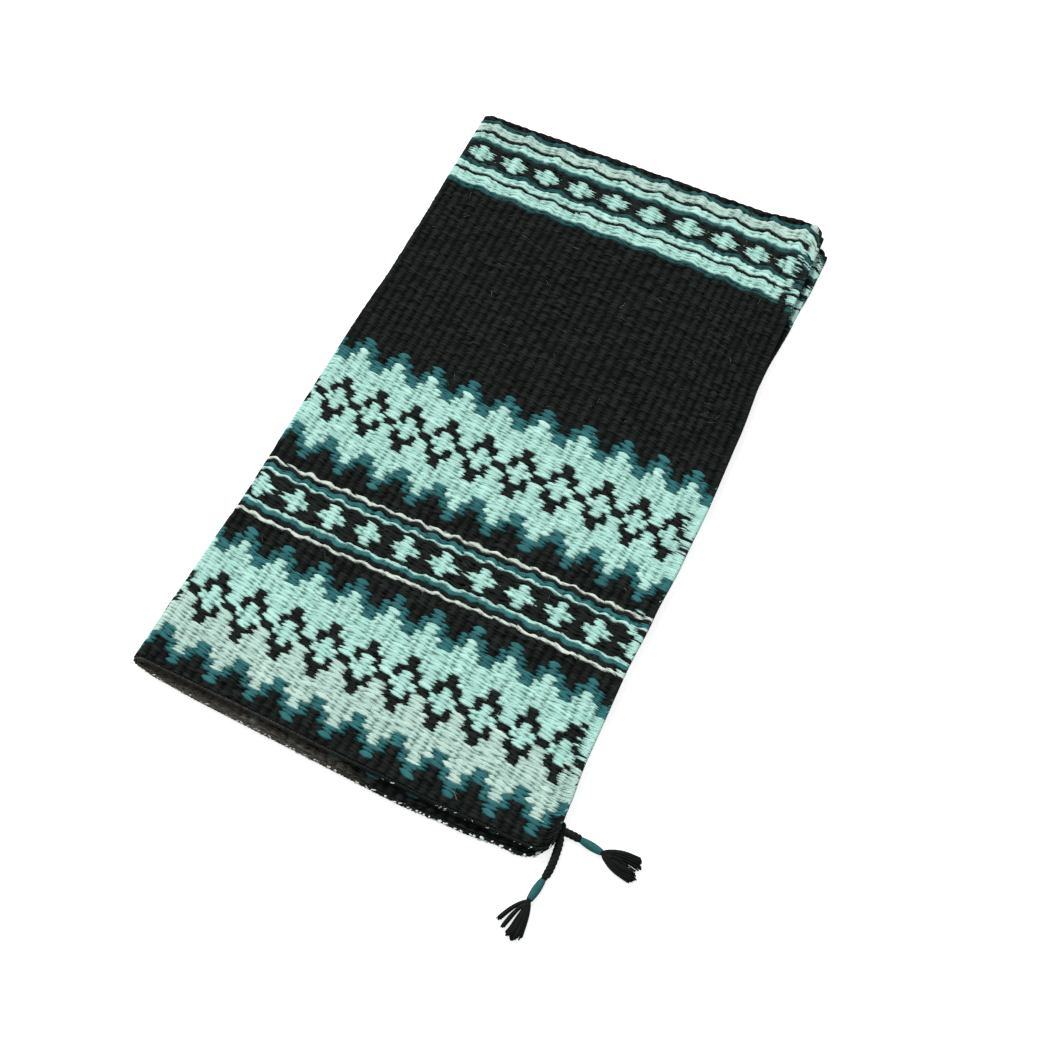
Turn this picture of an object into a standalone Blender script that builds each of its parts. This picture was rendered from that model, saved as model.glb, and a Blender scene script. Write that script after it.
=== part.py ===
"""Double saddle blanket of heavy wool, folded end to end and then side to side, with two corner tassels.

The cloth is one weave. It lies here as a pack of four plies: two leaves of two plies each. The far ends
of each leaf's plies are joined by an end fold, and the two leaves by the spine folds along the left side,
one nested inside the other. The upper leaf opens about the spine like the cover of a book.

Metres, +Z up, X across the ribs from the spine to the selvedges, Y along the ribs towards the end folds.
The origin is the middle of the pack's underside, without the tassels.
"""

import math

import bmesh
import bpy
from mathutils import Matrix, Vector

# The folded pack
PACK_WIDTH = 0.432
SPINE_LENGTH = 0.785
PLY_THICKNESS = 0.0034
PLY_GAP = 0.0003
LEAF_GAP = 0.0012
CORNER_RADIUS = 0.025

# How the two leaves have slipped over each other, measured along their selvedge side
UPPER_NEAR_SLIP = 0.010
LOWER_SLIP = 0.020
UPPER_DRAW_IN = 0.009

# The ribs of the weave, one over each pair of warps
RIB_PITCH = 0.0105
RIB_DEPTH = 0.0005
CREST_START_SHARE = 0.25
CREST_END_SHARE = 0.75

# The cords that edge the cloth
EDGE_CORD = 0.0031
EDGE_SEAT = 0.0003

# The spine hinge
HINGE_OUTSET = 0.004

# The corner knot and the tassels that hang from it
KNOT_RADIUS = 0.005
KNOT_HEIGHT = 0.0076
KNOT_FROM_NEAR = 0.042
TASSEL_SEAT = 0.0003
TASSEL_CORD = 0.0068
FLOOR_CLEARANCE = 0.0002
LONG_TASSEL_ROUTE = ((0.0006, -0.0110), (0.0024, -0.0266), (0.0015, -0.0408), (-0.0008, -0.0506))
SHORT_TASSEL_ROUTE = ((0.0095, -0.0022), (0.0150, -0.0029))
LONG_WHIPPING = 0.022
SHORT_WHIPPING = 0.022
WHIPPING_END = 0.0062
WHIPPING_BELLY = 0.0074
TUFT_LENGTH = 0.037
STRAND_ROOT = 0.0030
STRAND_TIP = 0.0034
TUFT_HEAD = 0.0064
TUFT_HEAD_LENGTH = 0.006

# Each strand of a tuft: its angle from the tassel's line in degrees, its length as a share of the tuft's
# and its rise as a share of its own diameter
LONG_TUFT_SHARES = (
    (-28, 0.80, 0.0), (-11, 0.87, 0.0), (3, 0.95, 0.0), (7, 0.92, 0.8),
    (11, 1.00, 0.0), (16, 0.95, 0.8), (20, 0.92, 0.0),
)
SHORT_TUFT_SHARES = (
    (25, 0.97, 0.0), (19, 0.93, 0.8), (14, 0.98, 0.0),
    (2, 0.70, 0.0), (-6, 0.92, 0.8), (-10, 1.00, 0.0), (-15, 0.95, 0.0),
)

# How finely the round forms are divided
SPINE_STEPS = 14
FOLD_STEPS = 8
CORNER_STEPS = 10
CORD_RESOLUTION = 2
ROUND_SIDES = 20
STRAND_SIDES = 8
STRAND_RINGS = 4

# What follows from these
LEAF_THICKNESS = 2 * PLY_THICKNESS + PLY_GAP
STACK = 2 * LEAF_THICKNESS + LEAF_GAP
FOLD_X = -PACK_WIDTH / 2 + STACK / 2 + PLY_GAP / 2
HINGE_Z = STACK / 2
PLY_EDGE_INSET = EDGE_SEAT + EDGE_CORD
CORD_OFFSET = EDGE_SEAT + EDGE_CORD / 2
RIGHT_X = PACK_WIDTH / 2 - PLY_EDGE_INSET
END_FOLD_RADIUS = LEAF_THICKNESS / 2
END_FOLD_MIDDLE = (PLY_THICKNESS + PLY_GAP) / 2
CORNER_SLIP = LOWER_SLIP * (1 - CORNER_RADIUS / (RIGHT_X - FOLD_X - PLY_GAP / 2))
NEAR_Y = -(SPINE_LENGTH + CORNER_SLIP) / 2 + CORNER_SLIP + PLY_EDGE_INSET
FOLD_Y = NEAR_Y - PLY_EDGE_INSET + SPINE_LENGTH - END_FOLD_RADIUS - PLY_GAP / 2

# A leaf: the height of its underside, how far its near and far ends have slipped at the selvedge, and how
# far its far corner is drawn in
UPPER_BASE = LEAF_THICKNESS + LEAF_GAP
UPPER = {"base": UPPER_BASE, "near_slip": UPPER_NEAR_SLIP, "far_slip": 0, "draw_in": UPPER_DRAW_IN}
LOWER = {"base": 0, "near_slip": LOWER_SLIP, "far_slip": LOWER_SLIP, "draw_in": 0}

BLACK_WOOL = (0.012, 0.014, 0.0135)
TEAL_WOOL = (0.030, 0.130, 0.135)


def clear_scene():
    """Removes every object from the open scene."""
    for old in list(bpy.data.objects):
        bpy.data.objects.remove(old, do_unlink=True)


def wool(name, colour, roughness):
    """A matt woollen material."""
    material = bpy.data.materials.new(name)
    material.use_nodes = True
    shader = material.node_tree.nodes["Principled BSDF"]
    shader.inputs["Base Color"].default_value = (*colour, 1)
    shader.inputs["Roughness"].default_value = roughness
    shader.inputs["Metallic"].default_value = 0
    return material


def add_object(name, data, material):
    """Links a mesh or curve to the scene as a named object."""
    data.materials.append(material)
    piece = bpy.data.objects.new(name, data)
    bpy.context.scene.collection.objects.link(piece)
    return piece


def add_mesh(name, bm, material, smooth_angle=None):
    """Turns a bmesh into a named object with its faces pointing out."""
    bmesh.ops.recalc_face_normals(bm, faces=bm.faces)
    mesh = bpy.data.meshes.new(name)
    bm.to_mesh(mesh)
    bm.free()
    if smooth_angle is not None:
        mesh.shade_smooth()
        mesh.set_sharp_from_angle(angle=math.radians(smooth_angle))
    return add_object(name, mesh, material)


def add_tube(name, points, diameter, material):
    """A round cord along a line of points, with closed ends."""
    curve = bpy.data.curves.new(name, "CURVE")
    curve.dimensions = "3D"
    curve.bevel_depth = diameter / 2
    curve.bevel_resolution = CORD_RESOLUTION
    curve.use_fill_caps = True
    spline = curve.splines.new("POLY")
    spline.points.add(len(points) - 1)
    for place, point in zip(spline.points, points):
        place.co = (*point, 1)
    spline.use_smooth = True
    return add_object(name, curve, material)


def smooth_route(points, steps=3):
    """Points read from a smooth curve through a route's own points."""
    ends = [2 * points[0] - points[1], *points, 2 * points[-1] - points[-2]]
    route = [points[0]]
    for a, b, c, d in zip(ends, ends[1:], ends[2:], ends[3:]):
        for step in range(1, steps + 1):
            t = step / steps
            bend = (2 * a - 5 * b + 4 * c - d) * t**2 + (3 * b - a - 3 * c + d) * t**3
            route.append(b + ((c - a) * t + bend) / 2)
    return route


def right_x(leaf, far):
    """Where a leaf's plies end on the selvedge side, at their near end (far 0) or far end (far 1)."""
    return RIGHT_X - leaf["draw_in"] * far


def near_line(leaf, share):
    """The near end of a leaf's plies before the corner is rounded, at a share of the way across."""
    return NEAR_Y - leaf["near_slip"] * share


def near_point(leaf, share):
    """A point on the near end of a leaf's plies, with the corner at the selvedge rounded."""
    x = FOLD_X + PLY_GAP / 2 + share * (right_x(leaf, 0) - FOLD_X - PLY_GAP / 2)
    into_corner = max(0, x - right_x(leaf, 0) + CORNER_RADIUS)
    rise = CORNER_RADIUS - math.sqrt(max(0, CORNER_RADIUS**2 - into_corner**2))
    return x, near_line(leaf, share) + rise


def far_point(leaf, share):
    """A point on the far end of a leaf's plies."""
    x = FOLD_X + PLY_GAP / 2 + share * (right_x(leaf, 1) - FOLD_X - PLY_GAP / 2)
    return x, FOLD_Y - PLY_GAP / 2 - leaf["far_slip"] * share


def rib_profile():
    """Places across a ply as shares of its width, each with how far it lies below the rib's crest."""
    ribs = max(1, round((RIGHT_X - FOLD_X) / RIB_PITCH))
    places = []
    for rib in range(ribs):
        places.append((rib / ribs, RIB_DEPTH))
        places.append(((rib + CREST_START_SHARE) / ribs, 0))
        places.append(((rib + CREST_END_SHARE) / ribs, 0))
    return [*places, (1, RIB_DEPTH)]


def add_ply(name, leaf, low, material, flat_below=False):
    """One layer of the cloth: a ribbed slab with a rounded near corner on the selvedge side."""
    bm = bmesh.new()
    rows = []
    for share, depth in rib_profile():
        below = 0 if flat_below else depth
        heights = (low + below, low + PLY_THICKNESS - depth)
        near, far = near_point(leaf, share), far_point(leaf, share)
        rows.append([bm.verts.new((*plan, z)) for plan in (near, far) for z in heights])
    for (a, b, c, d), (e, f, g, h) in zip(rows, rows[1:]):
        bm.faces.new((b, d, h, f))
        bm.faces.new((a, e, g, c))
        bm.faces.new((a, b, f, e))
        bm.faces.new((c, g, h, d))
    for low_near, high_near, low_far, high_far in (rows[0], rows[-1]):
        bm.faces.new((low_near, low_far, high_far, high_near))
    return add_mesh(name, bm, material)


def half_round(bm, x, y, z):
    """A half-round face, its flat side towards the near end, of an end fold's section."""
    corners = []
    for step in range(FOLD_STEPS + 1):
        turn = math.pi * step / FOLD_STEPS
        corners.append((x, y + END_FOLD_RADIUS * math.sin(turn), z + END_FOLD_RADIUS * math.cos(turn)))
    return bm.faces.new([bm.verts.new(corner) for corner in corners])


def add_end_fold(name, leaf, material):
    """The tight fold that joins a leaf's two plies across their far ends."""
    bm = bmesh.new()
    x, y = far_point(leaf, 0)
    end_x, end_y = far_point(leaf, 1)
    face = half_round(bm, x, y + PLY_GAP, leaf["base"] + LEAF_THICKNESS / 2)
    swept = bmesh.ops.extrude_face_region(bm, geom=[face], use_keep_orig=True)["geom"]
    moved = [part for part in swept if isinstance(part, bmesh.types.BMVert)]
    bmesh.ops.translate(bm, verts=moved, vec=(end_x - x, end_y - y, 0))
    return add_mesh(name, bm, material, smooth_angle=50)


def spin_about_spine(bm, face, steps):
    """Sweeps a face half a turn about the spine's line, from the upper leaf round to the lower one."""
    swept = [face, *face.edges, *face.verts]
    centre = (FOLD_X - PLY_GAP / 2, 0, HINGE_Z)
    bmesh.ops.spin(bm, geom=swept, cent=centre, axis=(0, -1, 0), angle=math.pi, steps=steps)


def add_spine_fold(name, inner_radius, material):
    """A fold of one ply's thickness that runs along the spine from leaf to leaf."""
    bm = bmesh.new()
    x = FOLD_X - PLY_GAP / 2
    ends = (NEAR_Y, FOLD_Y - PLY_GAP / 2)
    corners = [(x, y, HINGE_Z + r) for y, r in (
        (ends[0], inner_radius), (ends[0], inner_radius + PLY_THICKNESS),
        (ends[1], inner_radius + PLY_THICKNESS), (ends[1], inner_radius),
    )]
    spin_about_spine(bm, bm.faces.new([bm.verts.new(corner) for corner in corners]), SPINE_STEPS)
    return add_mesh(name, bm, material, smooth_angle=50)


def add_corner_fold(name, material):
    """The far corner, where the end fold itself turns round the spine."""
    bm = bmesh.new()
    middle = HINGE_Z + (LEAF_GAP + LEAF_THICKNESS) / 2
    face = half_round(bm, FOLD_X - PLY_GAP / 2, FOLD_Y + PLY_GAP / 2, middle)
    spin_about_spine(bm, face, SPINE_STEPS)
    return add_mesh(name, bm, material, smooth_angle=50)


def add_end_cord(name, leaf, low, material):
    """The cord that edges a ply's near end and rounds its corner to the selvedge."""
    z = low + PLY_THICKNESS / 2
    start_x, start_y = near_point(leaf, 0)
    route = [Vector((start_x, start_y - CORD_OFFSET, z))]
    centre_x = right_x(leaf, 0) - CORNER_RADIUS
    width = right_x(leaf, 0) - start_x
    for step in range(CORNER_STEPS + 1):
        turn = math.pi / 2 * step / CORNER_STEPS
        share = (centre_x + CORNER_RADIUS * math.sin(turn) - start_x) / width
        x = centre_x + (CORNER_RADIUS + CORD_OFFSET) * math.sin(turn)
        y = near_line(leaf, share) + CORNER_RADIUS - (CORNER_RADIUS + CORD_OFFSET) * math.cos(turn)
        route.append(Vector((x, y, z)))
    return add_tube(name, route, EDGE_CORD, material)


def add_cord_bend(name, inner_radius, material):
    """The part of an end cord that goes round the spine with its fold."""
    x, y = FOLD_X - PLY_GAP / 2, NEAR_Y - CORD_OFFSET
    radius = inner_radius + PLY_THICKNESS / 2
    route = []
    for step in range(SPINE_STEPS + 1):
        turn = math.pi * step / SPINE_STEPS
        route.append(Vector((x - radius * math.sin(turn), y, HINGE_Z + radius * math.cos(turn))))
    return add_tube(name, route, EDGE_CORD, material)


def add_selvedge_cord(name, leaf, material):
    """The side cord of a leaf: along the outer ply, round the end fold and back along the inner one."""
    near_y = near_line(leaf, 1) + CORNER_RADIUS + EDGE_SEAT
    far_x, far_y = far_point(leaf, 1)
    middle = leaf["base"] + LEAF_THICKNESS / 2
    route = [Vector((right_x(leaf, 0) + CORD_OFFSET, near_y, middle + END_FOLD_MIDDLE))]
    for step in range(FOLD_STEPS + 1):
        turn = math.pi * step / FOLD_STEPS
        y = far_y + PLY_GAP + END_FOLD_MIDDLE * math.sin(turn)
        route.append(Vector((far_x + CORD_OFFSET, y, middle + END_FOLD_MIDDLE * math.cos(turn))))
    route.append(Vector((right_x(leaf, 0) + CORD_OFFSET, near_y, middle - END_FOLD_MIDDLE)))
    return add_tube(name, route, EDGE_CORD, material)


def knot_centre():
    """The middle of the knot, against the lower leaf's selvedge near its near corner."""
    y = near_line(LOWER, 1) - PLY_EDGE_INSET + KNOT_FROM_NEAR
    return Vector((PACK_WIDTH / 2 + TASSEL_SEAT + KNOT_RADIUS, y, FLOOR_CLEARANCE + KNOT_HEIGHT / 2))


def add_knot(name, material):
    """The corner knot: a ball flattened by lying down, round in plan so that the cords can turn about it."""
    bm = bmesh.new()
    flatten = Matrix.Diagonal((1, 1, KNOT_HEIGHT / (2 * KNOT_RADIUS), 1))
    place = Matrix.Translation(knot_centre()) @ flatten
    bmesh.ops.create_uvsphere(
        bm, u_segments=ROUND_SIDES, v_segments=ROUND_SIDES // 2, radius=KNOT_RADIUS, matrix=place
    )
    return add_mesh(name, bm, material, smooth_angle=60)


def turned(bm, outline):
    """A round body about Z from an outline of (height, radius) pairs whose first and last radius is zero."""
    verts = [bm.verts.new((radius, 0, height)) for height, radius in outline]
    edges = [bm.edges.new(pair) for pair in zip(verts, verts[1:])]
    bmesh.ops.spin(
        bm, geom=verts + edges, cent=(0, 0, 0), axis=(0, 0, 1), angle=math.tau, steps=ROUND_SIDES
    )
    bmesh.ops.remove_doubles(bm, verts=bm.verts, dist=PLY_GAP / 10)


def along(start, direction):
    """The frame whose Z axis leaves a point in a level direction."""
    forward = direction.normalized()
    side = Vector((0, 0, 1)).cross(forward)
    turn = Matrix((side, Vector((0, 0, 1)), forward)).transposed().to_4x4()
    return Matrix.Translation(start) @ turn


def add_whipping(name, start, direction, length, material):
    """The yarn wound round a tassel's neck, as a sleeve that swells a little in the middle."""
    bm = bmesh.new()
    outline = [(0, 0), (0, WHIPPING_END / 2)]
    for step in range(1, FOLD_STEPS):
        share = step / FOLD_STEPS
        swell = (WHIPPING_BELLY - WHIPPING_END) / 2 * math.sin(math.pi * share)
        outline.append((length * share, WHIPPING_END / 2 + swell))
    outline += [(length, WHIPPING_END / 2), (length, 0)]
    turned(bm, outline)
    bmesh.ops.transform(bm, matrix=along(start, direction), verts=bm.verts)
    return add_mesh(name, bm, material, smooth_angle=50)


def add_strand(start, end, material):
    """One yarn end of a tuft, a little thicker at its cut end."""
    bm = bmesh.new()
    length = (end - start).length
    rings = []
    for ring in range(STRAND_RINGS + 1):
        share = ring / STRAND_RINGS
        radius = (STRAND_ROOT + (STRAND_TIP - STRAND_ROOT) * share) / 2
        circle = []
        for side in range(STRAND_SIDES):
            turn = math.tau * side / STRAND_SIDES
            circle.append(bm.verts.new((radius * math.cos(turn), radius * math.sin(turn), length * share)))
        rings.append(circle)
    for low, high in zip(rings, rings[1:]):
        bmesh.ops.bridge_loops(bm, edges=ring_edges(bm, low) + ring_edges(bm, high))
    bm.faces.new(rings[0])
    bm.faces.new(rings[-1])
    forward = (end - start).normalized()
    place = Matrix.Translation(start) @ forward.to_track_quat("Z", "Y").to_matrix().to_4x4()
    bmesh.ops.transform(bm, matrix=place, verts=bm.verts)
    return add_mesh("strand", bm, material)


def ring_edges(bm, circle):
    """The edges round a ring of vertices, made where they are missing."""
    edges = []
    for a, b in zip(circle, circle[1:] + circle[:1]):
        edges.append(bm.edges.get((a, b)) or bm.edges.new((a, b)))
    return edges


def fuse(target, others):
    """Joins overlapping solids into the first of them and removes the rest."""
    for other in others:
        union = target.modifiers.new("union", "BOOLEAN")
        union.operation = "UNION"
        union.solver = "EXACT"
        union.object = other
    bpy.context.view_layer.update()
    shaped = target.evaluated_get(bpy.context.evaluated_depsgraph_get())
    mesh = bpy.data.meshes.new_from_object(shaped)
    target.modifiers.clear()
    target.data = mesh
    for other in others:
        bpy.data.objects.remove(other, do_unlink=True)


def add_tuft(name, start, direction, shares, material):
    """The loose yarn ends beyond the whipping, fused where they leave it."""
    bm = bmesh.new()
    turned(bm, [(0, 0), (0, WHIPPING_END / 2), (TUFT_HEAD_LENGTH, TUFT_HEAD / 2), (TUFT_HEAD_LENGTH, 0)])
    bmesh.ops.transform(bm, matrix=along(start, direction), verts=bm.verts)
    head = add_mesh(name, bm, material, smooth_angle=50)
    forward = direction.normalized()
    root = start + forward * (TUFT_HEAD_LENGTH / 2)
    floor = FLOOR_CLEARANCE + STRAND_TIP / 2
    strands = []
    for angle, length_share, rise_share in shares:
        aim = Matrix.Rotation(math.radians(angle), 3, "Z") @ forward
        end = root + aim * (TUFT_LENGTH * length_share)
        end.z = floor + STRAND_TIP * rise_share
        strands.append(add_strand(root, end, material))
    fuse(head, strands)
    return head


def add_tassel(name, route, whipping, shares, black, teal):
    """A tassel: a plied cord from the knot, a whipping round it and a tuft of cut yarn ends."""
    centre = knot_centre()
    first = Vector((*route[0], 0)).normalized()
    root = centre + first * (KNOT_RADIUS + TASSEL_SEAT)
    root.z = FLOOR_CLEARANCE + TASSEL_CORD / 2
    points = [root] + [Vector((centre.x + x, centre.y + y, root.z)) for x, y in route]
    cord = add_tube(name + "_cord", smooth_route(points), TASSEL_CORD, black)
    direction = points[-1] - points[-2]
    sleeve_start = points[-1] + direction.normalized() * TASSEL_SEAT
    sleeve_start.z = FLOOR_CLEARANCE + WHIPPING_BELLY / 2
    sleeve = add_whipping(name + "_whipping", sleeve_start, direction, whipping, teal)
    tuft_start = sleeve_start + direction.normalized() * (whipping + TASSEL_SEAT)
    tuft = add_tuft(name + "_tuft", tuft_start, direction, shares, black)
    return [cord, sleeve, tuft]


def add_pivot(name, place):
    """An empty on a joint's axis, for the pieces that turn about it."""
    pivot = bpy.data.objects.new(name, None)
    pivot.location = place
    bpy.context.scene.collection.objects.link(pivot)
    return pivot


def carry(pivot, pieces):
    """Parents pieces to a pivot without moving them."""
    bpy.context.view_layer.update()
    for piece in pieces:
        piece.parent = pivot
        piece.matrix_parent_inverse = pivot.matrix_world.inverted()


def build_leaf(name, leaf, outer_low, inner_low, black, flat_below=False):
    """A leaf's two plies with their end fold and edge cords."""
    return [
        add_ply(name + "_outer_ply", leaf, outer_low, black, flat_below),
        add_ply(name + "_inner_ply", leaf, inner_low, black),
        add_end_fold(name + "_end_fold", leaf, black),
        add_end_cord(name + "_outer_end_cord", leaf, outer_low, black),
        add_end_cord(name + "_inner_end_cord", leaf, inner_low, black),
        add_selvedge_cord(name + "_selvedge_cord", leaf, black),
    ]


def build():
    """The whole blanket."""
    clear_scene()
    black = wool("black_wool", BLACK_WOOL, 0.9)
    teal = wool("teal_wool", TEAL_WOOL, 0.85)

    second_ply = PLY_THICKNESS + PLY_GAP
    build_leaf("lower", LOWER, 0, second_ply, black, flat_below=True)
    upper = build_leaf("upper", UPPER, UPPER_BASE + second_ply, UPPER_BASE, black)

    outer_radius = STACK / 2 - PLY_THICKNESS
    inner_radius = LEAF_GAP / 2
    add_spine_fold("outer_spine_fold", outer_radius, black)
    add_spine_fold("inner_spine_fold", inner_radius, black)
    add_corner_fold("corner_fold", black)
    add_cord_bend("outer_cord_bend", outer_radius, black)
    add_cord_bend("inner_cord_bend", inner_radius, black)
    carry(add_pivot("spine_hinge", (FOLD_X - HINGE_OUTSET, 0, HINGE_Z)), upper)

    add_knot("corner_knot", black)
    tassels = (
        ("long_tassel", LONG_TASSEL_ROUTE, LONG_WHIPPING, LONG_TUFT_SHARES),
        ("short_tassel", SHORT_TASSEL_ROUTE, SHORT_WHIPPING, SHORT_TUFT_SHARES),
    )
    for name, route, whipping, shares in tassels:
        pieces = add_tassel(name, route, whipping, shares, black, teal)
        carry(add_pivot(name + "_swivel", knot_centre()), pieces)


build()
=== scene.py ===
"""The looks of the folded saddle blanket: woven wool, edge cords and tassels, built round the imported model.

Metres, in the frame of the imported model. A place on the cloth is (column, distance): the column counts the
ribs from the spine, positive on the upper leaf, and the distance runs along them from the end folds.
"""

import math

import bpy
import numpy as np
from mathutils import Matrix, Vector


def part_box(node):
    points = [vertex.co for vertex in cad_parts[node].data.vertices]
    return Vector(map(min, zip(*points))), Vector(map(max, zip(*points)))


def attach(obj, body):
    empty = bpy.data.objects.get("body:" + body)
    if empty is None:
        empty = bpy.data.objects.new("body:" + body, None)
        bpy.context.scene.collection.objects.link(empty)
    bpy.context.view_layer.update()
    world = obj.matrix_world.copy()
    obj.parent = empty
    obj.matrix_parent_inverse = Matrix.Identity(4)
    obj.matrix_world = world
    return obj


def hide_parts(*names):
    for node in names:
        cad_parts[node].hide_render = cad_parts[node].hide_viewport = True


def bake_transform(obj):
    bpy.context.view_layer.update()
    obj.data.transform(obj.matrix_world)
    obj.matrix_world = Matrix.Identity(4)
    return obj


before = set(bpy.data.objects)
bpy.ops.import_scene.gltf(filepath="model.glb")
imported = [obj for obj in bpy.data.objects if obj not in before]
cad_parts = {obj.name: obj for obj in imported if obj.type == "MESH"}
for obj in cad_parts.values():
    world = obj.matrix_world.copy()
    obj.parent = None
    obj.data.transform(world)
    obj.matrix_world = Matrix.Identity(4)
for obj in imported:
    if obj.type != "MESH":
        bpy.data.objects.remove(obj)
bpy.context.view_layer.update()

# The photograph's camera, as fitted to the pack's corners and edges
CAMERA_PLACE = (0.346563, -0.778302, 1.328596)
CAMERA_AXES = (
    (0.90796628, -0.37021573, 0.19630983),
    (0.41880136, 0.78579057, -0.45512482),
    (0.01423596, 0.49545281, 0.86851819),
)
CAMERA_LENS = 51.854

# The folded pack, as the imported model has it
PLY_THICKNESS = 0.0034
PLY_GAP = 0.0003
LEAF_GAP = 0.0012
LEAF_THICKNESS = 2 * PLY_THICKNESS + PLY_GAP
STACK = 2 * LEAF_THICKNESS + LEAF_GAP
HINGE_Z = STACK / 2
CORNER_RADIUS = 0.025
UPPER_CORNER_RADIUS = 0.013
EDGE_CORD = 0.0031
EDGE_SEAT = 0.0003
UPPER_NEAR_SLIP = 0.010
UPPER_DRAW_IN = 0.009
LOWER_SLIP = 0.020
SPINE_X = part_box("upper_outer_ply")[0][0]
SPINE_NEAR_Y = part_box("outer_spine_fold")[0][1]
FOLD_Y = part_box("upper_outer_ply")[1][1]
RIGHT_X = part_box("lower_outer_ply")[1][0]
FAR_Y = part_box("upper_end_fold")[1][1]
FLAT_START = FAR_Y - FOLD_Y
WIDTH = RIGHT_X - SPINE_X

# The weave: ribs of weft strands, each rib's strands half a step from its neighbours'. A pick is the step of
# the drafts.
RIBS = 40
RIB_PITCH = WIDTH / RIBS
PICK = 0.002755
STRAND = 0.00385
LEAST_STRAND = 0.6 * STRAND
LONGEST_STRAND = 1.7 * STRAND
GROUND_REACH = 0.78
GROUND_TAPER = 2.2
GROUND_ARCH = 0.0066
GROUND_RISE = 2.6
MOTIF_ARCH = 0.0011
STRAND_DIP = 0.0008
GROOVE = 0.0013
GROOVE_SIZES = (0.1, 1)
EDGE_GROOVE = 0.3
GROOVE_OFFSET = 0.35
DEEPEST = 0.0028
HIGHEST = 0.0005
GAP_DEPTHS = (0.6, 0.4, 0.2)
LEAST_WIDTH = 0.02
CREST = 0.0002
SLANT = -0.0012
EDGE_WAVER = 0.00090
RISE_WAVER = 0.00045
REACH_WAVER = (0.90, 1.36)
MIDDLE_WAVER = 0.11
GROUND_MIDDLE_WAVER = 0.03
SLANT_WAVER = 0.0015
RIB_SPAN = 1.1

# How near a line on the next rib lies to join a rib's own, and how far past a band rows are straight again
WAVE_REACH = 1.45 * PICK
WAVE_END = 4.0

# Beside a selvedge: how often a half strand takes the yarn of one further along, on the lower and on the
# upper leaf, and how many half strands further
STREAK_CHANCES = (0.20, 0.60)
STREAK_STEPS = (-8, -5, 5, 8)

# How a motif's ribs share their width, 0, 1 or 2 steps from its middle rib: how far a rib's floats reach
# either way, how far its middle leans towards the motif's middle, in ribs, and how blunt its floats end
MOTIF_REACH = (0.68, 0.54, 0.97)
MOTIF_LEAN = (0.0, 0.07, 0.0)
MOTIF_TAPER = (2.4, 1.2, 2.2)

# A star's floats: its middle rib's are blunt, those beside it are drawn out to points over the black
STAR_REACH = 0.66
STAR_POINTS = 0.80
FAR_STAR_POINTS = 0.64
STAR_TAPER = (2.2, 0.65)
STAR_ARCH = (0.0008, 0.0002)

BLACK, TEAL, DEEP_TEAL, AQUA, PALE, CREAM, STAR = range(7)

# Where the random draws start
RIB_SEED = 1000
DUST_SEED = 5
EDGE_SEED = 7
TASSEL_SEED = 11

# The draft of each band, in picks from its middle: for a rib 0, 1 or 2 steps from a motif's middle rib,
# where the first run starts, and then each run's end and yarn
ZIGZAG = (
    (-30.8, ((-25.2, TEAL), (-10.9, AQUA), (-4.9, BLACK), (4.9, AQUA), (10.9, BLACK),
             (24.2, AQUA), (29.4, TEAL))),
    (-27.1, ((-21.3, TEAL), (-6.6, AQUA), (-1.8, BLACK), (1.8, AQUA), (6.7, BLACK),
             (20.4, AQUA), (25.3, TEAL))),
    (-22.6, ((-17.5, TEAL), (-1.6, AQUA), (1.6, BLACK), (16.2, AQUA), (21.5, TEAL))),
)
STARS = (
    (-12.8, ((-11.6, CREAM), (-9.9, BLACK), (-8.0, TEAL), (-6.8, AQUA), (-4.6, BLACK),
             (5.2, STAR), (6.7, BLACK), (7.9, AQUA), (9.8, TEAL), (11.5, BLACK), (12.8, CREAM))),
    (-11.9, ((-10.7, CREAM), (-8.9, BLACK), (-7.0, TEAL), (-5.9, AQUA), (-1.5, BLACK),
             (2.1, STAR), (6.4, BLACK), (7.5, AQUA), (9.4, TEAL), (11.1, BLACK), (12.4, CREAM))),
    (-12.5, ((-11.2, CREAM), (-9.7, BLACK), (-7.7, TEAL), (-6.6, AQUA), (7.2, BLACK),
             (8.2, AQUA), (10.1, TEAL), (11.8, BLACK), (13.1, CREAM))),
)
FAR_STARS = (
    (-20.7, ((-18.5, DEEP_TEAL), (-13.8, PALE), (-12.4, BLACK), (-8.6, AQUA), (-6.6, DEEP_TEAL),
             (-4.5, BLACK), (4.0, STAR), (5.5, BLACK), (7.3, DEEP_TEAL), (10.9, AQUA),
             (12.3, BLACK), (17.7, AQUA), (20.1, DEEP_TEAL))),
    (-19.6, ((-17.4, DEEP_TEAL), (-12.8, PALE), (-11.2, BLACK), (-7.6, AQUA), (-5.6, DEEP_TEAL),
             (-2.3, BLACK), (2.3, STAR), (4.7, BLACK), (6.6, DEEP_TEAL), (10.3, AQUA),
             (11.7, BLACK), (17.2, AQUA), (19.5, DEEP_TEAL))),
    (-18.7, ((-16.5, DEEP_TEAL), (-12.0, PALE), (-10.5, BLACK), (-7.1, AQUA), (-5.1, DEEP_TEAL),
             (3.8, BLACK), (5.8, DEEP_TEAL), (9.5, AQUA), (10.9, BLACK), (16.3, AQUA),
             (18.6, DEEP_TEAL))),
)


def paled(draft, after):
    """A draft with the aqua runs that end past a place paler."""
    return tuple(
        (start, tuple((end, PALE if yarn == AQUA and end > after else yarn) for end, yarn in runs))
        for start, runs in draft
    )


# The bands from the end folds to the near edge: the draft, where its middle lies, the column of a motif, and
# where the floats' grid lies from the middle, in picks
BANDS = (
    (FAR_STARS, 0.0625, 2, 0.0),
    (ZIGZAG, 0.4411, 2, 0.0),
    (STARS, 0.5682, 0, 0.3),
    (paled(ZIGZAG, 12.0), 0.7010, 2, 0.0),
)
LONG_GROUND = 0.06
GROUND_SHIFT = 0.03
ROWS_START = -0.002
ROWS_END = 0.800

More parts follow.
